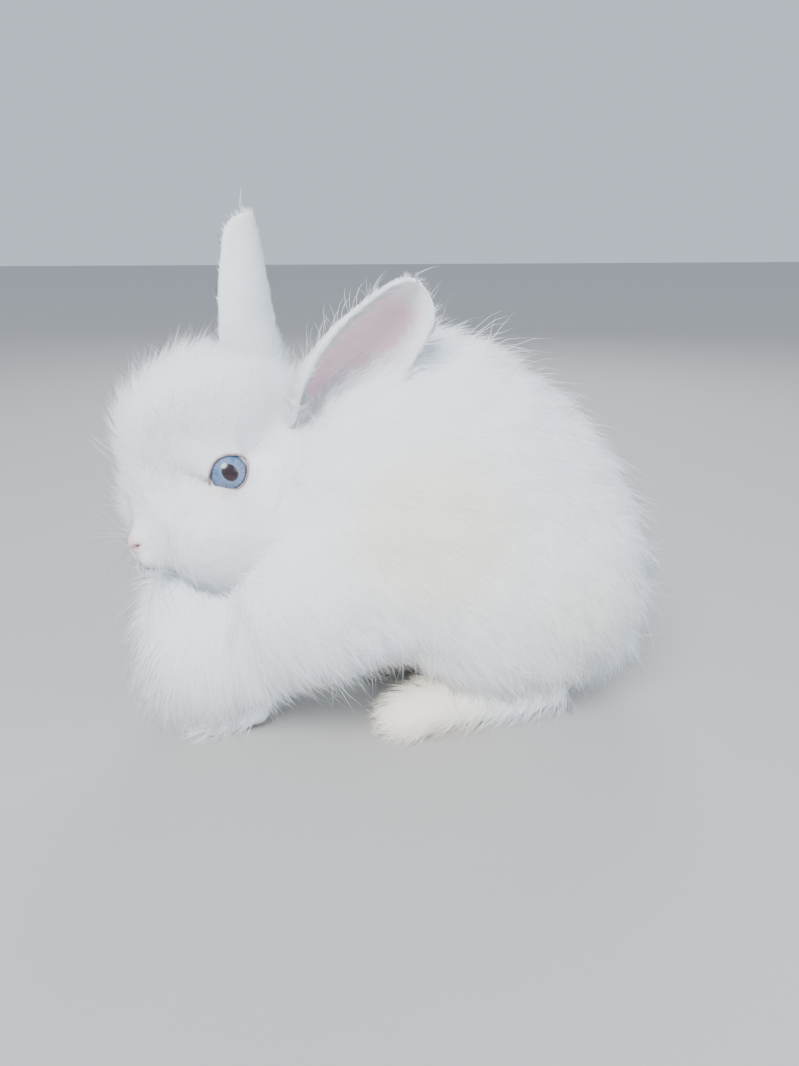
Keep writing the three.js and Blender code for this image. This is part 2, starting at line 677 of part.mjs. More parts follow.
// Locks along an ear's front edge. side is 1 for the left ear and -1 for the right one.
function earLocks({ base, tip, opening }, side, seed) {
  const draw = drawFrom(seed);
  const along = tip.clone().sub(base).normalize();
  const open = opening.clone().addScaledVector(along, -opening.dot(along)).normalize();
  const front = along.clone().cross(open).multiplyScalar(-side);
  const widths = smoothRows(EAR_ROWS, 101);
  return EAR_LOCKS_AT.map((share) => {
    const width = widths[Math.round(share * 100)][1] * EAR_HALF_WIDTH;
    const root = base.clone().lerp(tip, share).addScaledVector(front, 0.9 * width);
    root.addScaledVector(open, 0.55 * width);
    const normal = open.clone().multiplyScalar(-0.4).addScaledVector(front, 0.9).normalize();
    const lie = along.clone().addScaledVector(front, 0.25);
    return { root, normal, style: LOCKS.ear, lie, room: () => 1, ...chance(draw) };
  });
}

// How far up the ear each lock grows, as a share of its length
const EAR_LOCKS_AT = [0.3, 0.42, 0.54, 0.66];

// Room that the coat leaves for the legs, the tail, the ears, the eyes and the floor
const EAR_ROOM = 9;
const capsuleIn = (frame, from, to, radius) =>
  insideCapsule(at(frame, ...from), at(frame, ...to), radius);
const tailRoom = capsuleIn(
  BODY,
  [TAIL_PLACE[0], TAIL_PLACE[1], TAIL_PLACE[2] - 8],
  [TAIL_PLACE[0] + 1, TAIL_PLACE[1], TAIL_PLACE[2] + 8],
  9.5,
);
const eyeView = (side) =>
  insideCapsule(eyeCentre(side), eyeCentre(side).addScaledVector(eyeLooks(side), 18), EYE_RADIUS + 0.8);

const keepClear = allOf(
  above(vec(0, 0, FLOOR + 1.6), UP),
  ...[1, -1].flatMap((side) => [
    outsideOf(capsuleIn(footFrame(side), [7, 0, 7], [FOOT_LENGTH - 24, 0, 7], 10.5)),
    outsideOf(capsuleIn(pawFrame(side), [7, 0, 5], [17, 0, 5], 8)),
    outsideOf(eyeView(side)),
  ]),
  outsideOf(tailRoom),
  outsideOf(insideCapsule(EARS.left.base, EARS.left.tip, EAR_ROOM)),
  outsideOf(insideCapsule(EARS.right.base, EARS.right.tip, EAR_ROOM)),
);

function headStyle(p) {
  const fromNose = p.clone().sub(HEAD.origin);
  const up = fromNose.dot(HEAD.up);
  const nearEye = Math.min(p.distanceTo(eyeCentre(1)), p.distanceTo(eyeCentre(-1)));
  if (p.distanceTo(muzzle) < 17 || nearEye < EYE_RADIUS + 5.5) return null;
  if (up > 19) return LOCKS.brow;
  return up > -14 && Math.abs(fromNose.dot(HEAD.left)) > 15 ? LOCKS.cheek : LOCKS.jaw;
}

function bodyStyle(p, normal) {
  if (normal.z < -0.9) return null;
  if (p.x < -34 && normal.z > -0.75) return LOCKS.bib;
  return normal.z < -0.35 ? LOCKS.under : LOCKS.body;
}

const ROOT_MARGIN = 3.5;
const rootedIn = (space, styleAt) => (p, normal) =>
  Math.min(space(p), keepClear(p)) > ROOT_MARGIN ? styleAt(p, normal) : null;

// The body is one form, parted into its named parts. Each has its own locks.
const COAT_TRIES = 6000;
const whole = wholeCore();
const parts = [
  { name: "head", cut: cutToHead, space: inHead, seed: 11, styleAt: headStyle },
  { name: "neck", cut: cutToNeck, space: inNeck, seed: 23, styleAt: () => LOCKS.nape },
  { name: "torso", cut: cutToTorso, space: inTorso, seed: 37, styleAt: bodyStyle },
  { name: "haunch_left", cut: cutToHaunch(1), space: inHaunch(1), seed: 52, styleAt: bodyStyle },
  { name: "haunch_right", cut: cutToHaunch(-1), space: inHaunch(-1), seed: 50, styleAt: bodyStyle },
];
for (const part of parts) {
  part.locks = spread(whole, { ...part, styleAt: rootedIn(part.space, part.styleAt), room: keepClear });
}

// Legs, ears and tail are whole in themselves, and the coat of the body is cut clear of them.
const onFloor = (solid) => solid.intersect(fillAbove(vec(0, 0, FLOOR), UP, 0));
const footStyle = (p, normal) => (p.z > 5 && p.x < 34 && normal.z > -0.2 ? LOCKS.foot : null);
const tailStyle = (p) => (p.x > TAIL_PLACE[0] + 1 && p.z < TAIL_PLACE[2] + 8 ? LOCKS.tail : null);
const aboveFloor = above(vec(0, 0, FLOOR + 0.6), UP);

const limbs = [1, -1].flatMap((side) => {
  const name = side > 0 ? "left" : "right";
  return [
    {
      name: `ear_${name}`,
      core: (grow) => ear(EARS[name], grow),
      locks: earLocks(EARS[name], side, 71),
      trimmed: true,
    },
    {
      name: `hind_foot_${name}`,
      core: (grow) => hindFoot(side, grow),
      locks: spread(hindFoot(side), { seed: 83 + side, styleAt: footStyle, room: aboveFloor }),
      pocket: (grow) => footLoft(side, grow),
    },
    { name: `foreleg_${name}`, core: (grow) => foreleg(side, grow), locks: [], trimmed: true },
  ];
});
limbs.push({
  name: "tail",
  core: tailCore,
  locks: spread(tailCore(), { seed: 97, styleAt: tailStyle, room: aboveFloor }),
  trimmed: true,
});

const trim = wholeCore(GAP);
const pockets = join(limbs.filter((limb) => limb.pocket).map((limb) => limb.pocket(GAP)));
const lockRoom = (each) => [lock(each), lock(each, GAP)];
const limbRoom = join(limbs.flatMap((limb) => [limb.core(GAP), ...limb.locks.flatMap(lockRoom)]));

function bodyPart(part) {
  const others = parts.filter((other) => other !== part).flatMap((other) => other.crossing);
  const locks = join(part.locks.map((each) => lock(each))).subtract(limbRoom);
  return join([part.cut(whole).subtract(pockets), locks]).subtract(join(others));
}

// Only locks that leave their own part's room need room cut for them in the others.
const NEAR_EDGE = 4;
function leaves(space, solid) {
  const points = geometryOf(solid).attributes.position;
  const indices = Array.from({ length: points.count }, (_, i) => i);
  return indices.some((i) => space(vec(0, 0, 0).fromBufferAttribute(points, i)) < NEAR_EDGE);
}
for (const part of parts) {
  part.crossing = part.locks
    .map((each) => join(lockRoom(each)))
    .filter((fat) => leaves(part.space, fat));
}

// The finished rabbit
const colour = { fur: 0xf4f6f7, ear: 0xecd3d6, foot: 0xf3efe4, eye: 0x6f93bb };
const rabbit = new THREE.Group();

function add(name, solid, color = colour.fur, roughness = 0.9) {
  const material = new THREE.MeshStandardMaterial({ color, roughness, metalness: 0 });
  const mesh = new THREE.Mesh(geometryOf(largest(onFloor(solid))), material);
  mesh.name = name;
  rabbit.add(mesh);
}

for (const part of parts) {
  const solid = bodyPart(part);
  const isHead = part.name === "head";
  add(part.name, isHead ? join([solid.subtract(eyeHollows()), face()]).subtract(faceCuts()) : solid);
}
for (const limb of limbs) {
  const solid = limb.trimmed ? limb.core(0).subtract(trim) : limb.core(0);
  const tint = limb.name.startsWith("ear") ? colour.ear : colour.foot;
  add(limb.name, join([solid, ...limb.locks.map((each) => lock(each).subtract(trim))]), tint);
}
for (const side of [1, -1]) {
  add(side > 0 ? "eye_left" : "eye_right", ball(eyeCentre(side), EYE_RADIUS, 14), colour.eye, 0.1);
}

const box = new THREE.Box3().setFromObject(rabbit);
const middle = box.getCenter(vec(0, 0, 0));
rabbit.position.set(-middle.x, -middle.y, -box.min.z);

export default rabbit;
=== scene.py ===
import math

import bmesh
import bpy
import numpy as np
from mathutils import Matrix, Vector
from mathutils.bvhtree import BVHTree


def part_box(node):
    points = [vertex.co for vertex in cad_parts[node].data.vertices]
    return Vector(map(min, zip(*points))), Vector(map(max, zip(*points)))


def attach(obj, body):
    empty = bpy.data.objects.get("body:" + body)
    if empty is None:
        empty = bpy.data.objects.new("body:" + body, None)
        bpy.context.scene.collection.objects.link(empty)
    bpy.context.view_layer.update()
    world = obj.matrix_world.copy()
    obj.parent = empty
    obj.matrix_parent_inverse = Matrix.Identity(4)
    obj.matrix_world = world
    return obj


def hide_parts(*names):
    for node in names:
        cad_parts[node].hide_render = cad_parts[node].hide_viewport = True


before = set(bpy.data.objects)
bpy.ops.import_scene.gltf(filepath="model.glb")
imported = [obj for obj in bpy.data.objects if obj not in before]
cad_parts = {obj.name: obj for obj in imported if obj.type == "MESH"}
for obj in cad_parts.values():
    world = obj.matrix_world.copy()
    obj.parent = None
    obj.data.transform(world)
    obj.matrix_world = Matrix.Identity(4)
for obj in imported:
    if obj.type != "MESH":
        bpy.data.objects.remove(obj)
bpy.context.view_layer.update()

# Sizes below are in the design's millimetres: the nose points to -X and the left side is -Y.
# A side is 1 on the left and -1 on the right.
SIDES = (1, -1)
UP = np.array([0.0, 0.0, 1.0])
DENSITY = 1.0


def vec(*numbers):
    return np.array(numbers, float)


def unit(v):
    return v / np.maximum(np.linalg.norm(v, axis=-1, keepdims=True), 1e-9)


def dot(a, b):
    return np.sum(a * b, axis=-1)


def mix(a, b, t):
    return a + (b - a) * t


def smooth(x, low, high):
    t = np.clip((x - low) / (high - low), 0, 1)
    return t * t * (3 - 2 * t)


def turns(count):
    """Evenly spread angles of a full turn."""
    return np.arange(count) / count * 2 * math.pi


def reach_of(points, place):
    return np.linalg.norm(points - place, axis=1)


# Frames of the head, the feet and the body
class Frame:
    """A place and a heading, with the directions back, left and up."""

    def __init__(self, origin, yaw=0.0, pitch=0.0):
        ahead = vec(-math.cos(yaw), -math.sin(yaw), 0)
        self.origin = vec(*origin)
        self.back = -(ahead * math.cos(pitch) - UP * math.sin(pitch))
        self.up = ahead * math.sin(pitch) + UP * math.cos(pitch)
        self.left = vec(math.sin(yaw), -math.cos(yaw), 0)

    def at(self, back, left, up):
        back, left, up = np.broadcast_arrays(back, left, up)
        return (
            self.origin
            + back[..., None] * self.back
            + left[..., None] * self.left
            + up[..., None] * self.up
        )

    def within(self, points):
        d = points - self.origin
        return dot(d, self.back), dot(d, self.left), dot(d, self.up)


HEAD = Frame((-77, -12, 65), math.radians(24), math.radians(15))
BODY = Frame((0, 0, 0))
BODY.back, BODY.left, BODY.up = vec(1, 0, 0), vec(0, -1, 0), UP

EYE_RADIUS = 7.0
EYE_PLACE = (33.0, 9.4, 13.2)


def eye_centre(side):
    return HEAD.at(EYE_PLACE[0], side * EYE_PLACE[1], EYE_PLACE[2])


def eye_looks(side):
    return unit(HEAD.left * side * 0.92 - HEAD.back * 0.3 + HEAD.up * 0.2)


# The CAD part is moved so that its box is centred on the origin. The left eye tells by how much.
eye_low, eye_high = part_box("eye_left")
SHIFT = np.array((eye_low + eye_high) / 2) * 1000 - eye_centre(1)
SHIFT[2] = 0


def placed(points):
    return (np.asarray(points) + SHIFT) / 1000


# Closed forms
def smooth_rows(rows, count):
    """The rows joined by a smooth curve, at a given number of places."""
    rows = np.array(rows, float)
    padded = np.vstack([rows[:1], rows, rows[-1:]])
    along = np.linspace(0, len(rows) - 1, count)
    i = np.minimum(along.astype(int), len(rows) - 2)
    t = (along - i)[:, None]
    p0, p1, p2, p3 = padded[i], padded[i + 1], padded[i + 2], padded[i + 3]
    bend = 2 * p0 - 5 * p1 + 4 * p2 - p3
    return 0.5 * (2 * p1 + (p2 - p0) * t + bend * t * t + (3 * p1 - p0 - 3 * p2 + p3) * t**3)


def skin_over(rings):
    """A closed skin over a row of rings."""
    count = rings.shape[1]
    faces = []
    for i in range(len(rings) - 1):
        for j in range(count):
            a, b = i * count + j, i * count + (j + 1) % count
            faces.append((a, b, b + count, a + count))
    last = (len(rings) - 1) * count
    faces.append(tuple(range(count - 1, -1, -1)))
    faces.append(tuple(range(last, last + count)))
    return rings.reshape(-1, 3), faces


def facing_out(verts, faces):
    """Turns all the faces round if they face inwards."""
    fans = [(face[0], b, c) for face in faces for b, c in zip(face[1:-1], face[2:])]
    a, b, c = (verts[np.array(fans)[:, i]] for i in range(3))
    return verts, faces if dot(a, np.cross(b, c)).sum() > 0 else [face[::-1] for face in faces]


def loft(frame_, rows, grow=0.0, rings=40, sides=40):
    """A closed form through rows of: place, half width, top, widest height and bottom."""
    rows = np.array(rows, float)
    first, last = rows[0][0], rows[-1][0]
    middle = (first + last) / 2
    stretch = 1 + 2 * grow / (last - first)
    turn = turns(sides)
    made = []
    for k, (along, half, top, widest, bottom) in enumerate(smooth_rows(rows, rings)):
        inner = grow if 0 < k < rings - 1 else 0
        side = np.cos(turn) * max(max(half, 0.3) + inner, 0.3)
        reach = np.where(np.sin(turn) > 0, top - widest + inner, widest - bottom + inner)
        height = widest + np.sin(turn) * np.maximum(reach, 0.3)
        made.append(frame_.at(middle + (along - middle) * stretch, side, height))
    return skin_over(np.array(made))


def ellipsoid(frame_, place, radii, grow=0.0, detail=32, pitch=0.0):
    """A rounded form at a place in a frame, with its three radii grown."""
    lat = np.linspace(-math.pi / 2 + 0.04, math.pi / 2 - 0.04, detail // 2)
    lon = turns(detail)
    x = np.cos(lat)[:, None] * np.cos(lon)[None] * (radii[0] + grow)
    y = np.cos(lat)[:, None] * np.sin(lon)[None] * (radii[1] + grow)
    z = np.sin(lat)[:, None] * np.ones(detail)[None] * (radii[2] + grow)
    x, z = x * math.cos(pitch) + z * math.sin(pitch), -x * math.sin(pitch) + z * math.cos(pitch)
    return skin_over(frame_.at(place[0] + x, place[1] + y, place[2] + z))


def mesh_of(name, verts, faces):
    mesh = bpy.data.meshes.new(name)
    mesh.from_pydata([tuple(v) for v in verts], [], faces)
    mesh.update()
    return mesh


def linked(name, data):
    """A new object of the scene for a mesh, a light or a camera."""
    made = bpy.data.objects.new(name, data)
    bpy.context.scene.collection.objects.link(made)
    return made


def joined(forms):
    verts, faces, base = [], [], 0
    for form_verts, form_faces in forms:
        verts.append(form_verts)
        faces += [tuple(i + base for i in face) for face in form_faces]
        base += len(form_verts)
    return np.vstack(verts), faces


def arrays(mesh):
    """The points of a mesh, and the points and the corners of its triangles."""
    co = np.zeros(len(mesh.vertices) * 3, np.float32)
    mesh.vertices.foreach_get("co", co)
    mesh.calc_loop_triangles()
    tris = np.zeros(len(mesh.loop_triangles) * 3, np.int32)
    mesh.loop_triangles.foreach_get("vertices", tris)
    loops = np.zeros(len(mesh.loop_triangles) * 3, np.int32)
    mesh.loop_triangles.foreach_get("loops", loops)
    return co.reshape(-1, 3).astype(float), tris.reshape(-1, 3), loops.reshape(-1, 3)


def moved(mesh, co):
    """Puts a mesh's points at new places."""
    mesh.vertices.foreach_set("co", co.ravel().astype(np.float32))
    mesh.update()


def remade(verts, faces, voxel, passes):
    """One closed skin round forms that overlap, smoothed."""
    raw = linked("raw", mesh_of("raw", verts, faces))
    wrap = raw.modifiers.new("wrap", "REMESH")
    wrap.mode = "VOXEL"
    wrap.voxel_size = voxel
    ease = raw.modifiers.new("ease", "SMOOTH")
    ease.factor = 0.5
    ease.iterations = passes
    state = bpy.context.evaluated_depsgraph_get()
    done = bpy.data.meshes.new_from_object(raw.evaluated_get(state))
    bpy.data.objects.remove(raw)
    return done


# The body under the coat. Each row: place, half width, top, widest height and bottom.
TORSO_ROWS = [
    [-66, 1, 39, 36, 32],
    [-63, 13, 46, 36, 26],
    [-57, 20, 49, 34, 20],
    [-40, 26, 62, 38, 17],
    [-18, 30, 98, 44, 22],
    [4, 33, 115, 50, 27],
    [28, 35, 114, 50, 22],
    [52, 33, 98, 47, 15],
    [68, 27, 80, 43, 13],
    [78, 16, 60, 40, 20],
    [83, 1, 42, 41, 40],
]
HEAD_ROWS = [
    [0, 0.8, 1.5, 0, -1.5],
    [0.6, 3.6, 4, 0, -5],
    [3, 6.2, 7, -0.5, -9],
    [9, 10.5, 12, -2.5, -14.5],
    [18, 16, 18.5, -4, -20],
    [28, 20, 25, -4.5, -23],
    [38, 22, 31, -3.5, -23.5],
    [50, 22, 33.5, 0, -21],
    [61, 17.5, 29, 4, -13],
    [69, 10, 21, 5, -5],
    [72, 1, 7, 6, 5],
]
FOOT_ROWS = [
    [0, 1, 7, 6, 5],
    [1, 5.6, 9.8, 5.8, 1],
    [6, 8.4, 13, 6.4, 0.6],
    [18, 9.6, 15, 7, 0.6],
    [36, 9.2, 15, 7, 0.6],
    [54, 8, 14.4, 6.6, 0.8],
    [62.5, 5.6, 11.6, 6.4, 2],
    [65, 1, 7.6, 6.8, 6],
]
PAW_ROWS = [
    [0, 1, 5.5, 5, 4.5],
    [1, 4.6, 8, 4.8, 1.4],
    [6, 6.8, 10, 5.4, 0.8],
    [14, 7, 11.4, 5.6, 0.8],
    [21, 5.6, 11, 5.6, 1],
    [24, 1, 6.6, 6, 5.4],
]
ARM_ROWS = [
    [0, 1, 1, 0, -1],
    [1.5, 5.4, 5.6, 0, -5.6],
    [14, 6.2, 6.8, 0, -6.8],
    [30, 8, 8.6, 0, -8.6],
    [42, 8, 9, 0, -9],
    [44, 1, 1, 0, -1],
]


def foot_frame(side):
    return Frame((-1.5, -side * 25.5, 0), side * math.radians(6))


def paw_frame(side):
    return Frame((-61, -side * 11.5, 0), side * math.radians(4))


def arm_frame(side):
    return Frame((-45, -side * 11, 5), 0, math.radians(60))


def toes(frame_, places, radii):
    return [
        ellipsoid(frame_, (radii[0] - 1.4 + abs(left) * 0.25, left, radii[2] * 0.86), radii, -0.4)
        for left in places
    ]


# Rounded forms, each a place and three radii
TAIL = (86, -2, 30), (8.5, 8, 13)
TAIL_PITCH = 0.25
NAPE = (-12, -3, 78), (27, 27, 27)
CHEST = (-53, 0, 24), (21, 25, 19)
# The skull, forehead, bridge, both cheeks, chin and nose tip, and how much each one grows
HEAD_FORMS = [
    ((37, 0, 21), (27, 25, 26), -1.5),
    ((26, -4, 25), (18, 18, 17), -1),
    ((19, -3, 13), (15, 16, 14), -1),
    ((24.5, -17.5, -1), (21, 15.5, 18), -1),
    ((25, 17, -2), (22, 14.5, 18), -1),
    ((10, 0, -10.6), (6.2, 5.4, 4)),
    ((1.6, 0, 1), (2.4, 3.8, 2.8)),
]


def shoulder(side):
    return (-24, side * 24, 48), (19, 12, 19)


def thigh(side):
    return (38, side * 24, 48), (33, 14, 29)


forms = [
    loft(BODY, TORSO_ROWS, 1.5),
    ellipsoid(BODY, *NAPE, -6),
    loft(HEAD, HEAD_ROWS, -0.4, 60, 48),
    *[ellipsoid(HEAD, *form) for form in HEAD_FORMS],
    ellipsoid(BODY, *TAIL, -4.5, pitch=TAIL_PITCH),
]
for side in SIDES:
    forms += [
        ellipsoid(BODY, *shoulder(side), 2),
        ellipsoid(BODY, *thigh(side), 2),
        ellipsoid(HEAD, (4.4, side * 3.2, -4), (4.4, 3.9, 4.2)),
        ellipsoid(HEAD, (10.5, side * 6, -3.6), (8, 5, 6)),
        loft(foot_frame(side), FOOT_ROWS, -0.5),
        loft(paw_frame(side), PAW_ROWS, -0.4),
        loft(arm_frame(side), ARM_ROWS, -1),
        *toes(foot_frame(side), (-6.2, -2.2, 2.2, 6), (7.6, 3.1, 5.6)),
        *toes(paw_frame(side), (-4.6, -1.6, 1.6, 4.4), (5.2, 2.2, 4)),
    ]
skin_mesh = remade(*joined(forms), 1.25, 4)


def relaxed(mesh, weight_of, passes):
    """Eases creases where the weight says so."""
    co, _, _ = arrays(mesh)
    ends = np.zeros(len(mesh.edges) * 2, np.int32)
    mesh.edges.foreach_get("vertices", ends)
    ends = ends.reshape(-1, 2)
    count = np.bincount(ends.ravel(), minlength=len(co))[:, None]
    weight = 0.5 * weight_of(co)[:, None]
    for _ in range(passes):
        total = np.zeros_like(co)
        for axis in range(3):
            total[:, axis] = np.bincount(ends[:, 0], co[ends[:, 1], axis], len(co))
            total[:, axis] += np.bincount(ends[:, 1], co[ends[:, 0], axis], len(co))
        co += (total / count - co) * weight
    moved(mesh, co)


HEAD_MIDDLE = HEAD.at(36, 0, 4)
LIPS = HEAD.at(4, 0, -3)


def head_ease(points):
    """1 on the head and 0 on the body and the lips."""
    reach = np.linalg.norm((points - HEAD_MIDDLE) / 42, axis=1)
    return smooth(reach, 1.2, 0.95) * smooth(reach_of(points, LIPS), 6, 13)


relaxed(skin_mesh, head_ease, 150)


def refine(mesh, wanted, cuts):
    """Splits the faces whose middle is wanted into smaller ones."""
    bm = bmesh.new()
    bm.from_mesh(mesh)
    middles = np.array([f.calc_center_median() for f in bm.faces])
    chosen = wanted(middles)
    bm.faces.ensure_lookup_table()
    edges = {edge for i in np.flatnonzero(chosen) for edge in bm.faces[i].edges}
    bmesh.ops.subdivide_edges(bm, edges=list(edges), cuts=cuts, use_grid_fill=True)
    bmesh.ops.triangulate(bm, faces=[f for f in bm.faces if len(f.verts) > 4])
    bm.to_mesh(mesh)
    bm.free()


# Lids: an almond opening over each eye, measured along the eye's surface from its middle
LID_HALF = (7.1, 5.8)
LID_TILT = math.radians(18)


def eye_axes(side):
    looks = eye_looks(side)
    across = unit(HEAD.back - looks * dot(HEAD.back, looks))
    upward = np.cross(looks, across) * (1 if dot(np.cross(looks, across), HEAD.up) > 0 else -1)
    turned = across * math.cos(LID_TILT) + upward * math.sin(LID_TILT)
    return turned, unit(upward - turned * dot(upward, turned)), looks


def lid_shape(x):
    """How the corners reach out, the front one further, and how the lids close towards them."""
    reach = np.where(x < 0, 0.24, 0.12)
    return 1 + reach * np.minimum(np.abs(x), 1.2) ** 6, 1 + 0.2 * np.minimum(x * x, 1.2)


def opening(side, points):
    """1 on the edge of the lids, less inside the opening and more outside it."""
    across, upward, looks = eye_axes(side)
    d = points - eye_centre(side)
    heading = unit(d)
    angle = np.arccos(np.clip(dot(heading, looks), -1, 1))
    arc = EYE_RADIUS * angle / np.maximum(np.sin(angle), 1e-4)
    x, y = dot(heading, across) * arc / LID_HALF[0], dot(heading, upward) * arc / LID_HALF[1]
    corner, close = lid_shape(x)
    measure = np.hypot(x / corner, y * close)
    return np.where((angle < 2) & (np.linalg.norm(d, axis=1) < EYE_RADIUS + 18), measure, 9.0)


def lid_edge(side, turn):
    """Directions from the eye's middle to the edge of its lids."""
    across, upward, looks = eye_axes(side)
    x, y = np.cos(turn), np.sin(turn)
    corner, close = lid_shape(x)
    a, b = x * corner * LID_HALF[0] / EYE_RADIUS, y / close * LID_HALF[1] / EYE_RADIUS
    angle = np.hypot(a, b)[:, None]
    aside = unit(a[:, None] * across + b[:, None] * upward)
    return looks * np.cos(angle) + aside * np.sin(angle)


def near_face(points):
    close = reach_of(points, LIPS) < 17
    for side in SIDES:
        close |= (reach_of(points, eye_centre(side)) < 19) & (opening(side, points) < 2.2)
    return close


refine(skin_mesh, near_face, 2)


def line_distance(points, line):
    best = np.full(len(points), 1e9)
    for a, b in zip(line[:-1], line[1:]):
        t = np.clip(dot(points - a, b - a) / dot(b - a, b - a), 0, 1)
        best = np.minimum(best, np.linalg.norm(points - (a + t[:, None] * (b - a)), axis=1))
    return best


# The line of the mouth, from corner to corner
MOUTH = [
    (13.5, 10.5, -9.8),
    (9, 9, -9.6),
    (4.5, 5.6, -8.6),
    (1.6, 0, -6.8),
    (4.5, -5.6, -8.6),
    (9, -9, -9.6),
    (13.5, -10.5, -9.8),
]


def vertex_normals(mesh):
    normals = np.zeros(len(mesh.vertices) * 3, np.float32)
    mesh.vertex_normals.foreach_get("vector", normals)
    return normals.reshape(-1, 3).astype(float)


def nostril(side, left, up, half_width, half_height):
    """1 in the middle of a nostril's slanted slit, fading outwards."""
    across = left * side - 2.5
    rise = up - 0.5 - 0.35 * across
    return np.exp(-((across / half_width) ** 2 + (rise / half_height) ** 2))


def sculpt(mesh):
    """Presses the philtrum, the mouth, the nostrils and the lids into the skin."""
    co, _, _ = arrays(mesh)
    normals = vertex_normals(mesh)
    back, left, up = HEAD.within(co)
    front = smooth(back, 16, 6)
    crease = np.exp(-((left / 0.45) ** 2)) * smooth(up, 0.0, -1.6) * smooth(up, -8, -6.5)
    co -= normals * (1.1 * crease * smooth(back, 5, 2.5))[:, None]
    mouth = line_distance(co, HEAD.at(*np.array(MOUTH).T))
    co -= normals * (1.3 * np.exp(-((mouth / 0.6) ** 2)) * front)[:, None]
    for side in SIDES:
        pit = nostril(side, left, up, 1.3, 0.62) * smooth(back, 6, 3)
        co -= normals * (1.7 * pit)[:, None]
        measure = opening(side, co)
        outward = unit(co - eye_centre(side))
        far = reach_of(co, eye_centre(side))
        lid = EYE_RADIUS + 0.45 + 1.1 * smooth(measure, 1.0, 1.25)
        reach = mix(lid, far, smooth(measure, 1.15, 2))
        reach = np.where(measure < 1, EYE_RADIUS - 1.4, reach)[:, None]
        co = np.where(measure[:, None] < 2, eye_centre(side) + outward * reach, co)
    co[:, 2] = np.maximum(co[:, 2], 0.05)
    moved(mesh, co)


sculpt(skin_mesh)


def unwrapped(obj):
    """Gives a piece its unwrap."""
    obj.data.uv_layers.new(name="OFBake")
    bpy.context.view_layer.objects.active = obj
    obj.select_set(True)
    bpy.ops.object.mode_set(mode="EDIT")
    bpy.ops.mesh.select_all(action="SELECT")
    bpy.ops.uv.smart_project(angle_limit=math.radians(66), island_margin=0.002)
    bpy.ops.object.mode_set(mode="OBJECT")
    obj.select_set(False)


# Ears: curled sheets. Each row: share of the length, share of the width, and half the curl.
EAR_ROWS = [
    [0, 0.22, 150],
    [0.1, 0.42, 140],
    [0.28, 0.8, 112],
    [0.45, 0.98, 92],
    [0.62, 1, 84],
    [0.78, 0.9, 76],
    [0.9, 0.76, 70],
    [0.96, 0.56, 64],
    [0.99, 0.32, 60],
    [1, 0.12, 60],
]
EAR_HALF_WIDTH = 12.5
# Each ear's base, its tip and the way its hollow faces
EARS = {
    1: (HEAD.at(57.5, 9.5, 20), vec(9, -23, 141.5), vec(0.15, -0.97, -0.15)),
    -1: (HEAD.at(62, -5.5, 23), vec(-35.5, 17, 161), vec(-0.95, 0.3, 0)),
}


def ear_axes(side):
    base, tip, opens = EARS[side]
    along = unit(tip - base)
    opens = unit(opens - along * dot(opens, along))
    return base, tip, along, opens, np.cross(along, opens)


EAR_STEPS = 26
EAR_RING = 2 * EAR_STEPS + 2


def ear(side, rings=70, steps=EAR_STEPS):
    """A closed sheet: its outer face, one edge, its inner face and the other edge."""
    base, tip, _, opens, across = ear_axes(side)
    made = []
    for share, width, half_turn in smooth_rows(EAR_ROWS, rings):
        turn = math.radians(half_turn)
        radius = width * EAR_HALF_WIDTH / math.sin(min(turn, math.pi / 2))
        half = 0.9 * mix(1.1, 0.7, share)
        spine = mix(base, tip, share) - opens * 2 * math.sin(share * math.pi)
        angles = np.linspace(-turn, turn, steps)
        ripple = 0.35 * np.sin(angles * 3 + share * 9) * smooth(share, 0.2, 0.5)

        def point(angle, reach):
            return (
                spine
                + opens * (radius - np.cos(angle) * reach)[..., None]
                + across * (np.sin(angle) * reach)[..., None]
            )

        outer = point(angles, radius + half + ripple)
        inner = point(angles[::-1], np.maximum(radius - half + ripple[::-1], 0.4))
        rim = turn + half * 0.8 / radius
        edge = point(np.array([rim, -rim]), np.array([radius + ripple[-1], radius + ripple[0]]))
        made.append(np.vstack([outer, edge[:1], inner, edge[1:]]))
    rings_ = np.array(made)
    verts, faces = skin_over(rings_)
    faces = faces[:-2]
    count = rings_.shape[1]
    last = (len(rings_) - 1) * count
    for j in range(steps - 1):
        c, d = 2 * steps - j, 2 * steps - j - 1
        faces.append((j + 1, j, c, d))
        faces.append((last + j, last + j + 1, last + d, last + c))
    faces.append((count - 1, count - 2, 0))
    faces.append((steps - 1, steps + 1, steps))
    faces.append((last, last + count - 2, last + count - 1))
    faces.append((last + steps - 1, last + steps, last + steps + 1))
    return facing_out(verts, faces)


# One skin: the body and the ears in one mesh
body_verts = arrays(skin_mesh)[0]
quads = [tuple(p.vertices) for p in skin_mesh.polygons]
bpy.data.meshes.remove(skin_mesh)
ear_forms = [ear(side) for side in SIDES]
skin_verts, skin_faces = joined([(body_verts, quads), *ear_forms])
body_count = len(body_verts)
ear_count = len(ear_forms[0][0])
skin = linked("skin", mesh_of("skin", placed(skin_verts), skin_faces))
skin.data.shade_smooth()
unwrapped(skin)


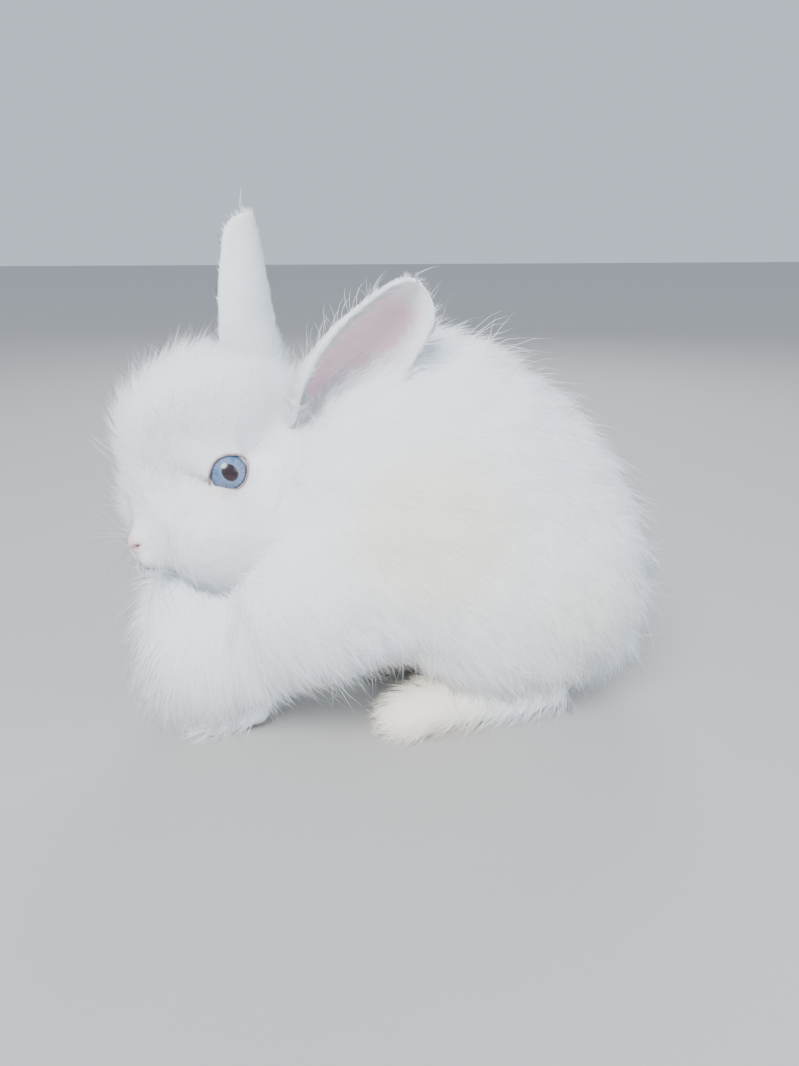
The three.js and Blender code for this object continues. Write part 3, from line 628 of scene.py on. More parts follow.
class Surface:
    """A piece's triangles with their places on its unwrap, for rooting the coat."""

    def __init__(self, obj):
        self.co, self.tris, loops = arrays(obj.data)
        self.co = self.co * 1000 - SHIFT
        uv = np.zeros(len(obj.data.loops) * 2, np.float32)
        obj.data.uv_layers["OFBake"].data.foreach_get("uv", uv)
        self.uv = uv.reshape(-1, 2)[loops].astype(float)
        a, b, c = (self.co[self.tris[:, i]] for i in range(3))
        cross = np.cross(b - a, c - a)
        self.area = np.linalg.norm(cross, axis=1) / 2
        self.middle = (a + b + c) / 3
        self.normal = unit(cross)
        self.point_normal = vertex_normals(obj.data)

    def roots(self, wanted, count, rng):
        """Places spread evenly over the wanted faces."""
        upto = np.cumsum(np.where(wanted, self.area, 0))
        pick = np.searchsorted(upto, (np.arange(count) + rng.random(count)) / count * upto[-1])
        pick = np.minimum(pick, len(self.area) - 1)
        u, v = np.sqrt(rng.random(count)), rng.random(count)
        share = np.stack([1 - u, u * (1 - v), u * v], 1)[..., None]
        ids = self.tris[pick]
        place = (self.co[ids] * share).sum(1)
        normal = unit((self.point_normal[ids] * share).sum(1))
        return place, normal, (self.uv[pick] * share).sum(1)


on_skin = Surface(skin)
on_ear = on_skin.tris[:, 0] >= body_count

# The woolly undercoat of the body, which the long coat grows through
woolly = [
    loft(BODY, TORSO_ROWS, 6.3),
    ellipsoid(BODY, *NAPE, -1.5),
    ellipsoid(BODY, *TAIL, -1.5, pitch=TAIL_PITCH),
    ellipsoid(BODY, *CHEST),
]
for side in SIDES:
    woolly += [ellipsoid(BODY, *shoulder(side), 6), ellipsoid(BODY, *thigh(side), 6)]
wool_mesh = remade(*joined(woolly), 1.7, 14)


def ruffled(mesh, scale, depth, seed):
    """Soft lumps over a form."""
    co, _, _ = arrays(mesh)
    rng = np.random.default_rng(seed)
    normals = vertex_normals(mesh)
    total = np.zeros(len(co))
    for _ in range(14):
        wave = unit(rng.normal(size=3)) * rng.uniform(0.7, 1.5) / scale
        total += np.sin(co @ wave * 2 * math.pi + rng.uniform(0, 6.3))
    co += normals * (depth * total / 4)[:, None]
    co[:, 2] = np.maximum(co[:, 2], 2.0)
    moved(mesh, placed(co))


ruffled(wool_mesh, 11, 0.55, 5)
wool = linked("undercoat", wool_mesh)
wool_mesh.shade_smooth()
unwrapped(wool)
on_wool = Surface(wool)


def outside(surface, points):
    """How far points are outside a surface, in millimetres, and less than 0 inside it."""
    tree = BVHTree.FromPolygons(surface.co.tolist(), surface.tris.tolist())
    reach = []
    for point in points:
        near, normal, _, _ = tree.find_nearest(Vector(point))
        reach.append((Vector(point) - near).dot(normal))
    return np.array(reach)


# Ways the coat lies
MUZZLE = HEAD.at(4, 0, -2)
THROAT = vec(-46, -3, 56)


def head_share(p):
    """1 on the head and 0 on the body, with a smooth change in between."""
    reach = np.linalg.norm((p - HEAD_MIDDLE) / vec(40, 42, 40), axis=1)
    return smooth(reach, 1.12, 0.82)


def flow_at(p):
    """The coat's lie: back from the muzzle, down the sides, and out from the throat on the bib."""
    rump = smooth(p[:, 0], 40, 90)
    down = mix(np.clip((104 - p[:, 2]) / 55, 0.02, 1.1), 1.3, rump)
    body = np.stack([np.ones(len(p)), np.sign(p[:, 1]) * 0.12, -down], 1)
    bib = unit(p - THROAT) - UP * 0.4
    to_bib = (smooth(p[:, 0], -22, -46) * smooth(p[:, 2], 84, 60))[:, None]
    flow = mix(unit(body), unit(bib), to_bib)
    flow[:, 2] *= smooth(p[:, 2], 3, 26)
    away = unit(p - MUZZLE)
    return mix(flow, away, head_share(p)[:, None])


def face_nearness(p):
    """How short the hair is near the nose and the eyes: 0 at them and 1 away from them."""
    nose = smooth(reach_of(p, MUZZLE), 6, 24)
    eyes = np.ones(len(p))
    for side in SIDES:
        eyes = np.minimum(eyes, smooth(reach_of(p, eye_centre(side)), 8.5, 24))
    return nose, eyes


def in_eye_view(points, margin):
    """Whether points lie in front of an eye, where no hair may hide it."""
    hit = np.zeros(points.shape[:-1], bool)
    for side in SIDES:
        d = points - eye_centre(side)
        ahead = dot(d, eye_looks(side))
        aside = np.linalg.norm(d - ahead[..., None] * eye_looks(side), axis=-1)
        hit |= (ahead > 0) & (ahead < 40) & (aside < margin + 0.16 * np.maximum(ahead - 7, 0))
    return hit


# How much of its stand a strand loses towards its tip
SETTLE = 0.6


def grow(kind, place, normal, uv, flow, rng):
    """Closed tapered strands in tufts: corners, and the roots' places on the unwrap and normals."""
    tufts, per = len(place), kind["strands"]

    def varied(by_tuft, by_strand):
        """Angles that differ from tuft to tuft, and from strand to strand."""
        return rng.normal(0, by_tuft, tufts)[:, None] + rng.normal(0, by_strand, (tufts, per))

    def turned(first, second, angle):
        """The way between two directions at an angle from the first."""
        return first * np.cos(angle)[..., None] + second * np.sin(angle)[..., None]

    length = kind["length"][:, None] * rng.uniform(0.7, 1.15, (tufts, per))
    along = unit(flow - normal * dot(flow, normal)[:, None])
    side = np.cross(along, normal)
    heading_flat = turned(along[:, None], side[:, None], varied(kind["turned"], 0.16))
    aside = np.cross(heading_flat, normal[:, None])
    stand = np.clip(kind["stand"][:, None] + varied(kind["lifted"], 0.1), 0.06, 1.5)
    curl = varied(kind["curl"], 0.2)
    angle = rng.uniform(0, 2 * math.pi, (tufts, per))
    reach = np.sqrt(rng.random((tufts, per))) * kind["spread"]
    offset = (
        along[:, None] * (np.cos(angle) * reach)[..., None]
        + side[:, None] * (np.sin(angle) * reach)[..., None]
    )
    spine = place[:, None] + offset - normal[:, None] * kind["sunk"]
    points, headings = [], []
    stops = [*kind["shares"], 1]
    for k, share in enumerate(stops):
        middle = 0 if k == 0 else (stops[k - 1] + share) / 2
        heading = turned(heading_flat, normal[:, None], stand * (1 - SETTLE * middle))
        heading = heading + aside * (curl * middle)[..., None]
        heading = unit(heading - UP * kind["droop"] * middle * middle)
        if k > 0:
            spine = spine + heading * (length * (share - stops[k - 1]))[..., None]
        points.append(spine - offset * kind["clump"] * share)
        headings.append(heading)
    keep = np.ones((tufts, per), bool)
    for point in points[1:]:
        keep &= ~in_eye_view(point, kind["eye_margin"])
    roll = rng.uniform(0, 2 * math.pi, (tufts, per))
    half = kind["width"] * rng.uniform(0.75, 1.25, (tufts, per)) / 2
    rings = []
    for k, wide in enumerate(kind["widths"]):
        e1 = unit(np.cross(headings[k], normal[:, None] + 0.01))
        e2 = np.cross(headings[k], e1)
        for corner in range(3):
            theta = roll + corner * 2 * math.pi / 3
            rings.append(
                points[k]
                + e1 * (np.cos(theta) * half * wide)[..., None]
                + e2 * (np.sin(theta) * half * wide)[..., None]
            )
    corners = np.stack([*rings, points[-1]], 2)
    floor_gap = 0.25 + 0.4 * rng.random((tufts, per))[..., None]
    corners[..., 2] = np.maximum(corners[..., 2], floor_gap)
    root_uv = np.broadcast_to(uv[:, None], (tufts, per, 2))
    facing = np.broadcast_to(normal[:, None], (tufts, per, 3))
    return corners[keep], root_uv[keep], facing[keep], len(kind["widths"])


def strand_faces(rings):
    """The triangles of a strand of three-sided rings with a tip."""
    faces = [(0, 2, 1)]
    for k in range(rings - 1):
        for j in range(3):
            a, b = k * 3 + j, k * 3 + (j + 1) % 3
            faces += [(a, b, a + 3), (b, b + 3, a + 3)]
    tip = rings * 3
    last = (rings - 1) * 3
    faces += [(last + j, last + (j + 1) % 3, tip) for j in range(3)]
    return np.array(faces)


# The side of each strand's patch on the unwrap
PATCH = 0.003
# How far a strand is lit like the surface that it grows from, as light passes through fine fur
COAT_FACING = 0.6


def coat_piece(name, grown, look):
    """A named mesh of all the strands given."""
    parts, base = [], 0
    for corners, root_uv, facing, rings in grown:
        strands, per = corners.shape[:2]
        pattern = strand_faces(rings)
        ids = base + np.arange(strands)[:, None, None] * per + pattern[None]
        across = (np.arange(per) % 3) / 2 - 0.5
        upward = np.arange(per) / (per - 1) - 0.5
        spots = (root_uv[:, None] + np.stack([across, upward], 1) * PATCH)[:, pattern]
        facings = np.repeat(facing, per, axis=0)
        parts.append((corners.reshape(-1, 3), ids.reshape(-1, 3), spots.reshape(-1, 2), facings))
        base += strands * per
    co, tris, uv, facing = (np.vstack(part) for part in zip(*parts))
    mesh = bpy.data.meshes.new(name)
    mesh.vertices.add(len(co))
    mesh.vertices.foreach_set("co", placed(co).ravel().astype(np.float32))
    mesh.loops.add(len(tris) * 3)
    mesh.loops.foreach_set("vertex_index", tris.ravel().astype(np.int32))
    mesh.polygons.add(len(tris))
    mesh.polygons.foreach_set("loop_start", np.arange(len(tris), dtype=np.int32) * 3)
    mesh.update(calc_edges=True)
    mesh.shade_smooth()
    layer = mesh.uv_layers.new(name="OFBake")
    layer.data.foreach_set("uv", np.clip(uv, 0, 1).ravel().astype(np.float32))
    facing = mix(vertex_normals(mesh), facing, COAT_FACING)
    mesh.normals_split_custom_set_from_vertices(unit(facing).astype(np.float32))
    mesh.materials.append(look.material)
    obj = linked(name, mesh)
    # Light reaches the skin through fine fur, so the coat throws no shadow on it
    obj.visible_shadow = False
    obj.visible_diffuse = False
    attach(obj, "root")


# Materials
WHITE = (0.85, 0.915, 0.985)
SKIN_WHITE = (0.86, 0.915, 0.975)
CREAM = (0.94, 0.89, 0.77)
NOSE_PINK = (0.83, 0.56, 0.54)
EAR_PINKS = (0.80, 0.61, 0.67), (0.76, 0.54, 0.62)
# Painted shade: the dark of the nostril slits and of the mouth's crease
NOSTRIL_AND_MOUTH_SHADE = (0.16, 0.09, 0.09)
LID_EDGES = (0.30, 0.21, 0.22), (0.46, 0.36, 0.37)
# Where the white turns to cream: a place on the body, a radius and a share
CREAM_PLACES = [
    ((10, -42, 72), 40, 0.8),
    ((8, -26, 4), 34, 1.0),
    ((8, 26, 4), 34, 1.0),
    ((-58, -18, 26), 26, 0.4),
    ((52, -40, 40), 34, 0.4),
]


class Look:
    """A new material, with short ways to add nodes to it."""

    def __init__(self, name):
        self.material = bpy.data.materials.new(name)
        self.material.use_nodes = True
        self.nodes = self.material.node_tree.nodes
        self.links = self.material.node_tree.links
        self.shader = self.nodes["Principled BSDF"]

    def fed(self, node, values):
        """Sets a node's first inputs to numbers, or joins them to other nodes' outputs."""
        for socket, value in zip(node.inputs, values):
            if isinstance(value, bpy.types.NodeSocket):
                self.links.new(value, socket)
            else:
                socket.default_value = value
        return node

    def math(self, operation, *values):
        node = self.nodes.new("ShaderNodeMath")
        node.operation = operation
        return self.fed(node, values).outputs[0]

    def vector(self, operation, *values):
        node = self.nodes.new("ShaderNodeVectorMath")
        node.operation = operation
        gives = "Value" if operation in ("LENGTH", "DOT_PRODUCT") else "Vector"
        return self.fed(node, values).outputs[gives]

    def step(self, value, low, high, rounded=True):
        """0 at the low value and 1 at the high one."""
        node = self.nodes.new("ShaderNodeMapRange")
        node.interpolation_type = "SMOOTHSTEP" if rounded else "LINEAR"
        return self.fed(node, (value, low, high)).outputs["Result"]

    def place(self):
        return self.nodes.new("ShaderNodeTexCoord").outputs["Object"]

    def cloud(self, place, scale, detail):
        node = self.nodes.new("ShaderNodeTexNoise")
        node.inputs["Scale"].default_value = scale
        node.inputs["Detail"].default_value = detail
        self.links.new(place, node.inputs["Vector"])
        return node.outputs["Fac"]

    def noise(self, scale, detail=3.0, low=0.35, high=0.65):
        return self.step(self.cloud(self.place(), scale, detail), low, high, rounded=False)

    def mixed(self, factor, a, b):
        """A colour between two, each given as a tuple or as a node's output."""
        node = self.nodes.new("ShaderNodeMix")
        node.data_type = "RGBA"
        self.links.new(factor, node.inputs[0])
        for socket, value in ((node.inputs[6], a), (node.inputs[7], b)):
            if isinstance(value, tuple):
                socket.default_value = (*value, 1)
            else:
                self.links.new(value, socket)
        return node.outputs[2]

    def near(self, place, radius):
        """1 at a place on the body, fading to 0 at the radius."""
        apart = self.vector("SUBTRACT", self.place(), tuple(placed(vec(*place))))
        return self.step(self.vector("LENGTH", apart), radius / 1000, radius / 3000)

    def fur_colour(self, white=WHITE):
        creamy = tuple(mix(vec(*white), vec(*CREAM), 0.3))
        colour = self.mixed(self.noise(55, 3.0, 0.42, 0.75), white, creamy)
        for place, radius, strength in CREAM_PLACES:
            weight = self.math("MULTIPLY", self.near(place, radius), strength)
            colour = self.mixed(weight, colour, CREAM)
        return colour

    def coloured(self, colour, roughness):
        self.links.new(colour, self.shader.inputs["Base Color"])
        self.shader.inputs["Roughness"].default_value = roughness

    def bumped(self, scale, strength, distance):
        bump = self.nodes.new("ShaderNodeBump")
        bump.inputs["Strength"].default_value = strength
        bump.inputs["Distance"].default_value = distance
        self.links.new(self.noise(scale, 4.0, 0.2, 0.8), bump.inputs["Height"])
        self.links.new(bump.outputs["Normal"], self.shader.inputs["Normal"])


def fur_look(name, roughness, sheen):
    look = Look(name)
    look.coloured(look.fur_colour(), roughness)
    look.shader.inputs["Specular IOR Level"].default_value = 0.3
    look.shader.inputs["Sheen Weight"].default_value = sheen
    look.shader.inputs["Sheen Roughness"].default_value = 0.5
    return look


fur = fur_look("coat_fur", 0.7, 0.0)
face_fur = fur_look("face_fur", 0.7, 0.0)
wool_look = fur_look("undercoat_wool", 0.8, 0.3)
wool_look.bumped(900, 0.5, 0.0006)
wool.data.materials.append(wool_look.material)
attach(wool, "root")

skin_look = Look("skin_short_coat")
zones = skin_look.nodes.new("ShaderNodeAttribute")
zones.attribute_name = "zones"
split = skin_look.nodes.new("ShaderNodeSeparateColor")
skin_look.links.new(zones.outputs["Color"], split.inputs[0])
ear_pink = skin_look.mixed(skin_look.noise(240, 4.0, 0.45, 0.7), *EAR_PINKS)
colour = skin_look.fur_colour(SKIN_WHITE)
# The third zone is painted shade, dark in the nostril slits and along the mouth's crease
for output, tint in zip(split.outputs, (ear_pink, NOSE_PINK, NOSTRIL_AND_MOUTH_SHADE)):
    colour = skin_look.mixed(output, colour, tint)
skin_look.coloured(colour, 0.62)
skin_look.shader.inputs["Subsurface Weight"].default_value = 0.3
skin_look.shader.inputs["Subsurface Radius"].default_value = (0.003, 0.002, 0.0018)
skin_look.shader.inputs["Subsurface Scale"].default_value = 1.0
skin_look.bumped(1500, 0.4, 0.0003)
skin.data.materials.append(skin_look.material)


def ear_place(side, p):
    """How far along an ear a place is, and how far across it, as shares."""
    base, tip, along, _, across = ear_axes(side)
    share = dot(p - base, along) / np.linalg.norm(tip - base)
    width = np.interp(np.clip(share, 0, 1), [r[0] for r in EAR_ROWS], [r[1] for r in EAR_ROWS])
    return share, dot(p - base, across) / (width * EAR_HALF_WIDTH + 0.1)


def ear_start(side):
    """The first of an ear's points in the skin."""
    return body_count + SIDES.index(side) * ear_count


def in_hollow(count):
    """Whether an ear's points, counted from its first, are on its inner face."""
    steps = count % EAR_RING
    return (steps > EAR_STEPS) & (steps < EAR_RING - 1)


def paint_zones():
    """Where the skin is ear pink, nose pink, or dark with painted shade in the nostril slits and
    the mouth's crease, as a colour on each point.
    """
    p = on_skin.co
    back, left, up = HEAD.within(p)
    ear_part = np.zeros(len(p))
    for side in SIDES:
        mine = slice(ear_start(side), ear_start(side) + ear_count)
        share, aside = ear_place(side, p[mine])
        middle = 1 - smooth(np.abs(aside), 0.5, 0.9)
        pinkness = in_hollow(np.arange(ear_count)) * mix(0.12, 1, middle)
        ear_part[mine] = pinkness * smooth(share, 0.99, 0.8)
    nose_area = np.hypot(left / 4.6, (up - 0.6) / 3.2)
    nose_part = 0.8 * (1 - smooth(nose_area, 0.6, 1.25)) * smooth(back, 6, 2.5)
    lips = line_distance(p, HEAD.at(*np.array(MOUTH[1:-1]).T))
    lip_pink = 0.75 * np.exp(-((lips / 1.3) ** 2)) * smooth(back, 9, 4)
    nose_part = np.maximum(nose_part, lip_pink)
    # Painted shade, dark in the nostril slits and along the mouth's crease
    dark = np.zeros(len(p))
    for side in SIDES:
        dark = np.maximum(dark, nostril(side, left, up, 1.2, 0.55) * smooth(back, 6, 3))
        eye_near = reach_of(p, eye_centre(side)) < EYE_RADIUS + 3
        rim_pink = 0.5 * smooth(opening(side, p), 1.2, 1.02)
        nose_part = np.where(eye_near, np.maximum(nose_part, rim_pink), nose_part)
    # Painted shade along the mouth's crease
    dark = np.maximum(dark, 0.7 * np.exp(-((lips / 0.5) ** 2)) * smooth(back, 9, 5))
    values = np.stack([ear_part, nose_part, dark, np.ones(len(p))], 1)
    layer = skin.data.color_attributes.new("zones", "FLOAT_COLOR", "POINT")
    layer.data.foreach_set("color", values.ravel().astype(np.float32))


paint_zones()
flesh = ["head", "neck", "torso", "tail"]
for part in ("haunch", "hind_foot", "foreleg", "ear"):
    flesh += [f"{part}_left", f"{part}_right"]
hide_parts(*flesh)
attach(skin, "root")

# Eyes
IRIS_HALF = 5.3
PUPIL_PLACE = (0.35, 0.2)
PUPIL_HALF = (2.3, 2.85)
IRIS_BLUES = (0.055, 0.12, 0.245), (0.15, 0.26, 0.42)
INNER_BLUE = (0.15, 0.23, 0.37)
IRIS_RING = (0.03, 0.06, 0.13)
EYE_WHITE = (0.78, 0.74, 0.74)
PUPIL_MAROON = (0.022, 0.008, 0.012)


def eye_look(side):
    """A blue iris with a dark ring round it and a maroon pupil, in the eye's own directions."""
    look = Look("eye_left_look" if side > 0 else "eye_right_look")
    across, upward, _ = eye_axes(side)
    from_middle = look.vector("SUBTRACT", look.place(), tuple(placed(eye_centre(side))))

    def within(middle, halves):
        """Places on the eye's front as shares of an ellipse's half widths."""
        shares = []
        for direction, off, half in zip((across, upward), middle, halves):
            reach = look.vector("DOT_PRODUCT", from_middle, tuple(direction * 1000))
            shares.append(look.math("MULTIPLY_ADD", reach, 1 / half, -off / half))
        return look.fed(look.nodes.new("ShaderNodeCombineXYZ"), shares).outputs[0]

    iris = within((0, 0), (IRIS_HALF, IRIS_HALF))
    iris_reach = look.vector("LENGTH", iris)
    pupil_reach = look.vector("LENGTH", within(PUPIL_PLACE, PUPIL_HALF))
    streaks = look.step(look.cloud(look.vector("NORMALIZE", iris), 9, 4), 0.35, 0.7)
    colour = look.mixed(streaks, *IRIS_BLUES)
    colour = look.mixed(look.step(pupil_reach, 1.7, 1.0), colour, INNER_BLUE)
    colour = look.mixed(look.step(iris_reach, 0.84, 0.99), colour, IRIS_RING)
    colour = look.mixed(look.step(iris_reach, 1.03, 1.12), colour, EYE_WHITE)
    colour = look.mixed(look.step(pupil_reach, 1.06, 0.9), colour, PUPIL_MAROON)
    look.coloured(colour, 0.25)
    look.shader.inputs["Specular IOR Level"].default_value = 0.5
    look.shader.inputs["Coat Weight"].default_value = 1.0
    look.shader.inputs["Coat Roughness"].default_value = 0.02
    look.shader.inputs["Coat IOR"].default_value = 1.4
    return look


def smooth_piece(name, verts, faces, look):
    verts, faces = facing_out(verts, faces)
    obj = linked(name, mesh_of(name, placed(verts), faces))
    obj.data.shade_smooth()
    obj.data.materials.append(look.material)
    return obj


def eyeball(side, rings=48, sides=64):
    """A ball with a low clear bulge in front."""
    lat = np.linspace(0.02, math.pi - 0.02, rings)
    lon = turns(sides)
    across, upward, looks = eye_axes(side)
    ahead = np.cos(lat)[:, None] * np.ones(sides)[None]
    aside = np.sin(lat)[:, None]
    bulge = EYE_RADIUS - 0.15 + 0.55 * smooth(ahead, 0.66, 1.0)
    points = eye_centre(side) + bulge[..., None] * (
        ahead[..., None] * looks
        + (aside * np.cos(lon)[None])[..., None] * across
        + (aside * np.sin(lon)[None])[..., None] * upward
    )
    name = "eyeball_left" if side > 0 else "eyeball_right"
    obj = smooth_piece(name, *skin_over(points), eye_look(side))
    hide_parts("eye_left" if side > 0 else "eye_right")
    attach(obj, "root")


def lid_rim(side, look, steps=96, sides=10, half=0.36):
    """The narrow bare edge of the lids: a thin ring."""
    direction = lid_edge(side, turns(steps))
    middle = eye_centre(side) + direction * (EYE_RADIUS + 0.2)
    ahead = unit(np.roll(middle, -1, 0) - np.roll(middle, 1, 0))
    outward = unit(np.cross(ahead, direction))
    rounds = [
        middle + outward * math.cos(theta) * half + direction * math.sin(theta) * half
        for theta in turns(sides)
    ]
    verts = np.array(rounds).transpose(1, 0, 2).reshape(-1, 3)
    ids = np.arange(steps * sides).reshape(steps, sides)
    after = np.roll(ids, -1, 0)
    corners = (ids, np.roll(ids, -1, 1), np.roll(after, -1, 1), after)
    name = "lid_rim_left" if side > 0 else "lid_rim_right"
    obj = smooth_piece(name, verts, np.stack(corners, 2).reshape(-1, 4).tolist(), look)
    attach(obj, "root")


rim_look = Look("lid_edge")
rim_look.coloured(rim_look.mixed(rim_look.noise(700), *LID_EDGES), 0.38)
for side in SIDES:
    eyeball(side)
    lid_rim(side, rim_look)


# Where the coat grows. Body fur roots on the undercoat, and the rest on the skin. The feet have
# their own fur, up to this length, half width and height in each foot's frame.
HIND_FOOT_FUR = (68, 12, 17)
FORE_FOOT_FUR = (18, 9, 12.5)

skin_place, wool_place = on_skin.middle, on_wool.middle
face_back, face_left, face_up = HEAD.within(skin_place)
nose_close, eye_close = face_nearness(skin_place)
in_opening = np.zeros(len(skin_place), bool)
on_foot = in_opening.copy()
brows = in_opening.copy()
for side in SIDES:
    near = reach_of(skin_place, eye_centre(side)) < EYE_RADIUS + 2.2
    in_opening |= near & (opening(side, skin_place) < 1.1)
    brows |= reach_of(skin_place, HEAD.at(27, side * 15, 27)) < 4
    for foot, limits in ((foot_frame(side), HIND_FOOT_FUR), (paw_frame(side), FORE_FOOT_FUR)):
        back, left, up = foot.within(skin_place)
        within = (back > -4) & (back < limits[0]) & (np.abs(left) < limits[1]) & (up < limits[2])
        on_foot |= within & ~on_ear
bare_nose = (np.hypot(face_left / 3.6, (face_up - 0.4) / 2.4) < 1) & (face_back < 4)
head_skin = ~on_ear & ~on_foot & ~in_opening & ~bare_nose & (head_share(skin_place) > 0.05)
head_skin &= outside(on_wool, skin_place) > -2.5
short_area = head_skin & (np.minimum(nose_close, eye_close) < 0.5)
head_area = head_skin & ~short_area
facing_floor = (on_wool.normal[:, 2] < -0.85) & (wool_place[:, 2] < 12)
body_area = (outside(on_skin, wool_place) > -1.5) & ~facing_floor

# Kinds of fur: strands in a tuft, how wide the tuft spreads, a strand's width, how far the tips
# gather, curl, droop, depth of the root, how far tufts turn and lift, and the gap round an eye
KIND_VALUES = "strands spread width clump curl droop sunk turned lifted eye_margin".split()
KINDS = {
    "body": (8, 1.9, 0.18, 0.3, 0.35, 0.3, 0.5, 0.2, 0.14, 6.4),
    "wisp": (3, 2.5, 0.17, 0.5, 0.8, 0.25, 0.5, 0.5, 0.25, 6.4),
    "hem": (6, 2.4, 0.18, 0.5, 0.7, 0.3, 0.5, 0.2, 0.14, 6.4),
    "head": (8, 1.3, 0.15, 0.3, 0.3, 0.05, 0.4, 0.2, 0.14, 6.2),
    "short": (4, 0.6, 0.11, 0.2, 0.15, 0.0, 0.2, 0.12, 0.06, 5.4),
    "flyaway": (2, 2.0, 0.13, 0.6, 0.8, 0.15, 0.4, 0.5, 0.2, 8.0),
    "whisker": (1, 0.2, 0.2, 0.0, 0.25, 0.35, 0.4, 0.35, 0.2, 8.0),
    "foot": (6, 1.0, 0.18, 0.45, 0.3, 0.1, 0.3, 0.2, 0.14, 6.4),
    "ear": (5, 0.8, 0.13, 0.2, 0.2, 0.0, 0.2, 0.2, 0.14, 6.4),
    "ear_base": (6, 1.6, 0.14, 0.4, 0.5, 0.0, 0.4, 0.2, 0.14, 8.0),
    "ear_edge": (4, 0.6, 0.13, 0.2, 0.4, 0.0, 0.2, 0.2, 0.14, 6.4),
    "ear_wisp": (2, 1.5, 0.12, 0.3, 0.9, 0.1, 0.2, 0.6, 0.3, 6.4),
}
# Along a strand, the places of its rings and how wide each one is
SIMPLE = {"shares": (0, 0.5), "widths": (0.8, 1)}
WAVY = {"shares": (0, 0.34, 0.68), "widths": (0.8, 1, 0.7)}
LONG = {"shares": (0, 0.3, 0.55, 0.8), "widths": (1, 0.85, 0.65, 0.4)}


def tufts_of(kind, place, length, stand, form=SIMPLE):
    """A kind of fur with its length and stand at each place."""
    return {
        "length": np.broadcast_to(length, len(place)).astype(float),
        "stand": np.broadcast_to(stand, len(place)).astype(float),
        **dict(zip(KIND_VALUES, KINDS[kind])),
        **form,
    }


def fixed(kind, length, stand, form=SIMPLE):
    """A kind of fur with the same length and stand everywhere."""
    return lambda place, normal: tufts_of(kind, place, length, stand, form)


def body_kind(place, normal):
    toward_floor = smooth(normal[:, 2], -0.2, -0.8)
    bib = smooth(place[:, 0], -30, -50) * smooth(place[:, 2], 80, 55)
    length = (mix(14.0, 8.0, toward_floor) + 5 * bib) * mix(1, 0.6, head_share(place))
    return tufts_of("body", place, length, mix(0.5, 0.35, toward_floor) + 0.12 * bib)


def wisp_kind(place, normal):
    length = mix(22.0, 15.0, smooth(normal[:, 2], 0, -0.7))
    return tufts_of("wisp", place, length, 0.72, WAVY)


def hem_kind(place, normal):
    """The long hairs that hang over the feet."""
    return tufts_of("hem", place, np.where(place[:, 0] < 0, 17.0, 15.0), 0.45)


def head_kind(place, normal):
    nose, eyes = face_nearness(place)
    back, left, up = HEAD.within(place)
    top = smooth(up, 12, 30)
    ruff = smooth(left, -6, -18) * smooth(back, 60, 40) * smooth(back, 3, 20)
    length = (mix(10.0, 12.0, top) + 8 * ruff) * mix(0.4, 1, np.minimum(nose, eyes))
    return tufts_of("head", place, length, (mix(0.62, 0.8, top) + 0.35 * ruff) * mix(0.4, 1, eyes))


def short_kind(place, normal):
    nose, eyes = face_nearness(place)
    return tufts_of("short", place, 1.4 + 4.5 * np.minimum(nose, eyes) / 0.5, 0.24)


def foot_kind(place, normal):
    return tufts_of("foot", place, 9.0 + 2.0 * smooth(place[:, 0], 6, 30), 0.62)


def ear_kind(side):
    def kind(place, normal):
        root = smooth(ear_place(side, place)[0], 0.42, 0.12)
        return tufts_of("ear", place, mix(3.0, 10.0, root), mix(0.12, 0.5, root))

    return kind


# More ways the coat lies
def always(direction):
    """One direction everywhere."""
    return lambda p: direction[None] + np.zeros((len(p), 1))


def hem_flow(p):
    """Down, and back over the hind feet or forward over the front ones."""
    return vec(0.25, 0, -1)[None] * np.where(p[:, :1] > 0, 1, vec(-1, 1, 1)[None])


def ear_flow(side):
    base, _, along, _, _ = ear_axes(side)

    def flow(p):
        out = unit(p - (base + dot(p - base, along)[:, None] * along))
        return along[None] + 0.2 * out

    return flow


def ear_edge_flow(side):
    """The hairs of an ear's edges lean over its hollow."""
    _, _, along, _, across = ear_axes(side)

    def flow(p):
        _, aside = ear_place(side, p)
        return 0.8 * along[None] - np.sign(aside)[:, None] * across[None]

    return flow


def grown(surface, wanted, tufts, kind_of, seed, flow_of=flow_at):
    rng = np.random.default_rng(seed)
    place, normal, uv = surface.roots(wanted, max(int(tufts * DENSITY), 6), rng)
    return grow(kind_of(place, normal), place, normal, uv, flow_of(place), rng)


flyaway_kind = fixed("flyaway", 17.0, 0.95, WAVY)
whisker_kind = fixed("whisker", 34.0, 1.05, LONG)
brow_hair_kind = fixed("whisker", 24.0, 1.05, LONG)
ear_base_kind = fixed("ear_base", 13.0, 0.5)
ear_edge_kind = fixed("ear_edge", 5.0, 0.45)
ear_wisp_kind = fixed("ear_wisp", 10.0, 0.75, WAVY)

# The coat, in pieces
BODY_TUFTS, WISP_TUFTS, HEM_TUFTS = 8800, 800, 700
HEAD_TUFTS, FACE_TUFTS, FLYAWAYS = 3600, 4000, 220
WHISKERS, BROW_HAIRS = 44, 7
EAR_TUFTS, EAR_BASE_TUFTS, EAR_WISPS = 1080, 170, 60
FOOT_TUFTS = 850

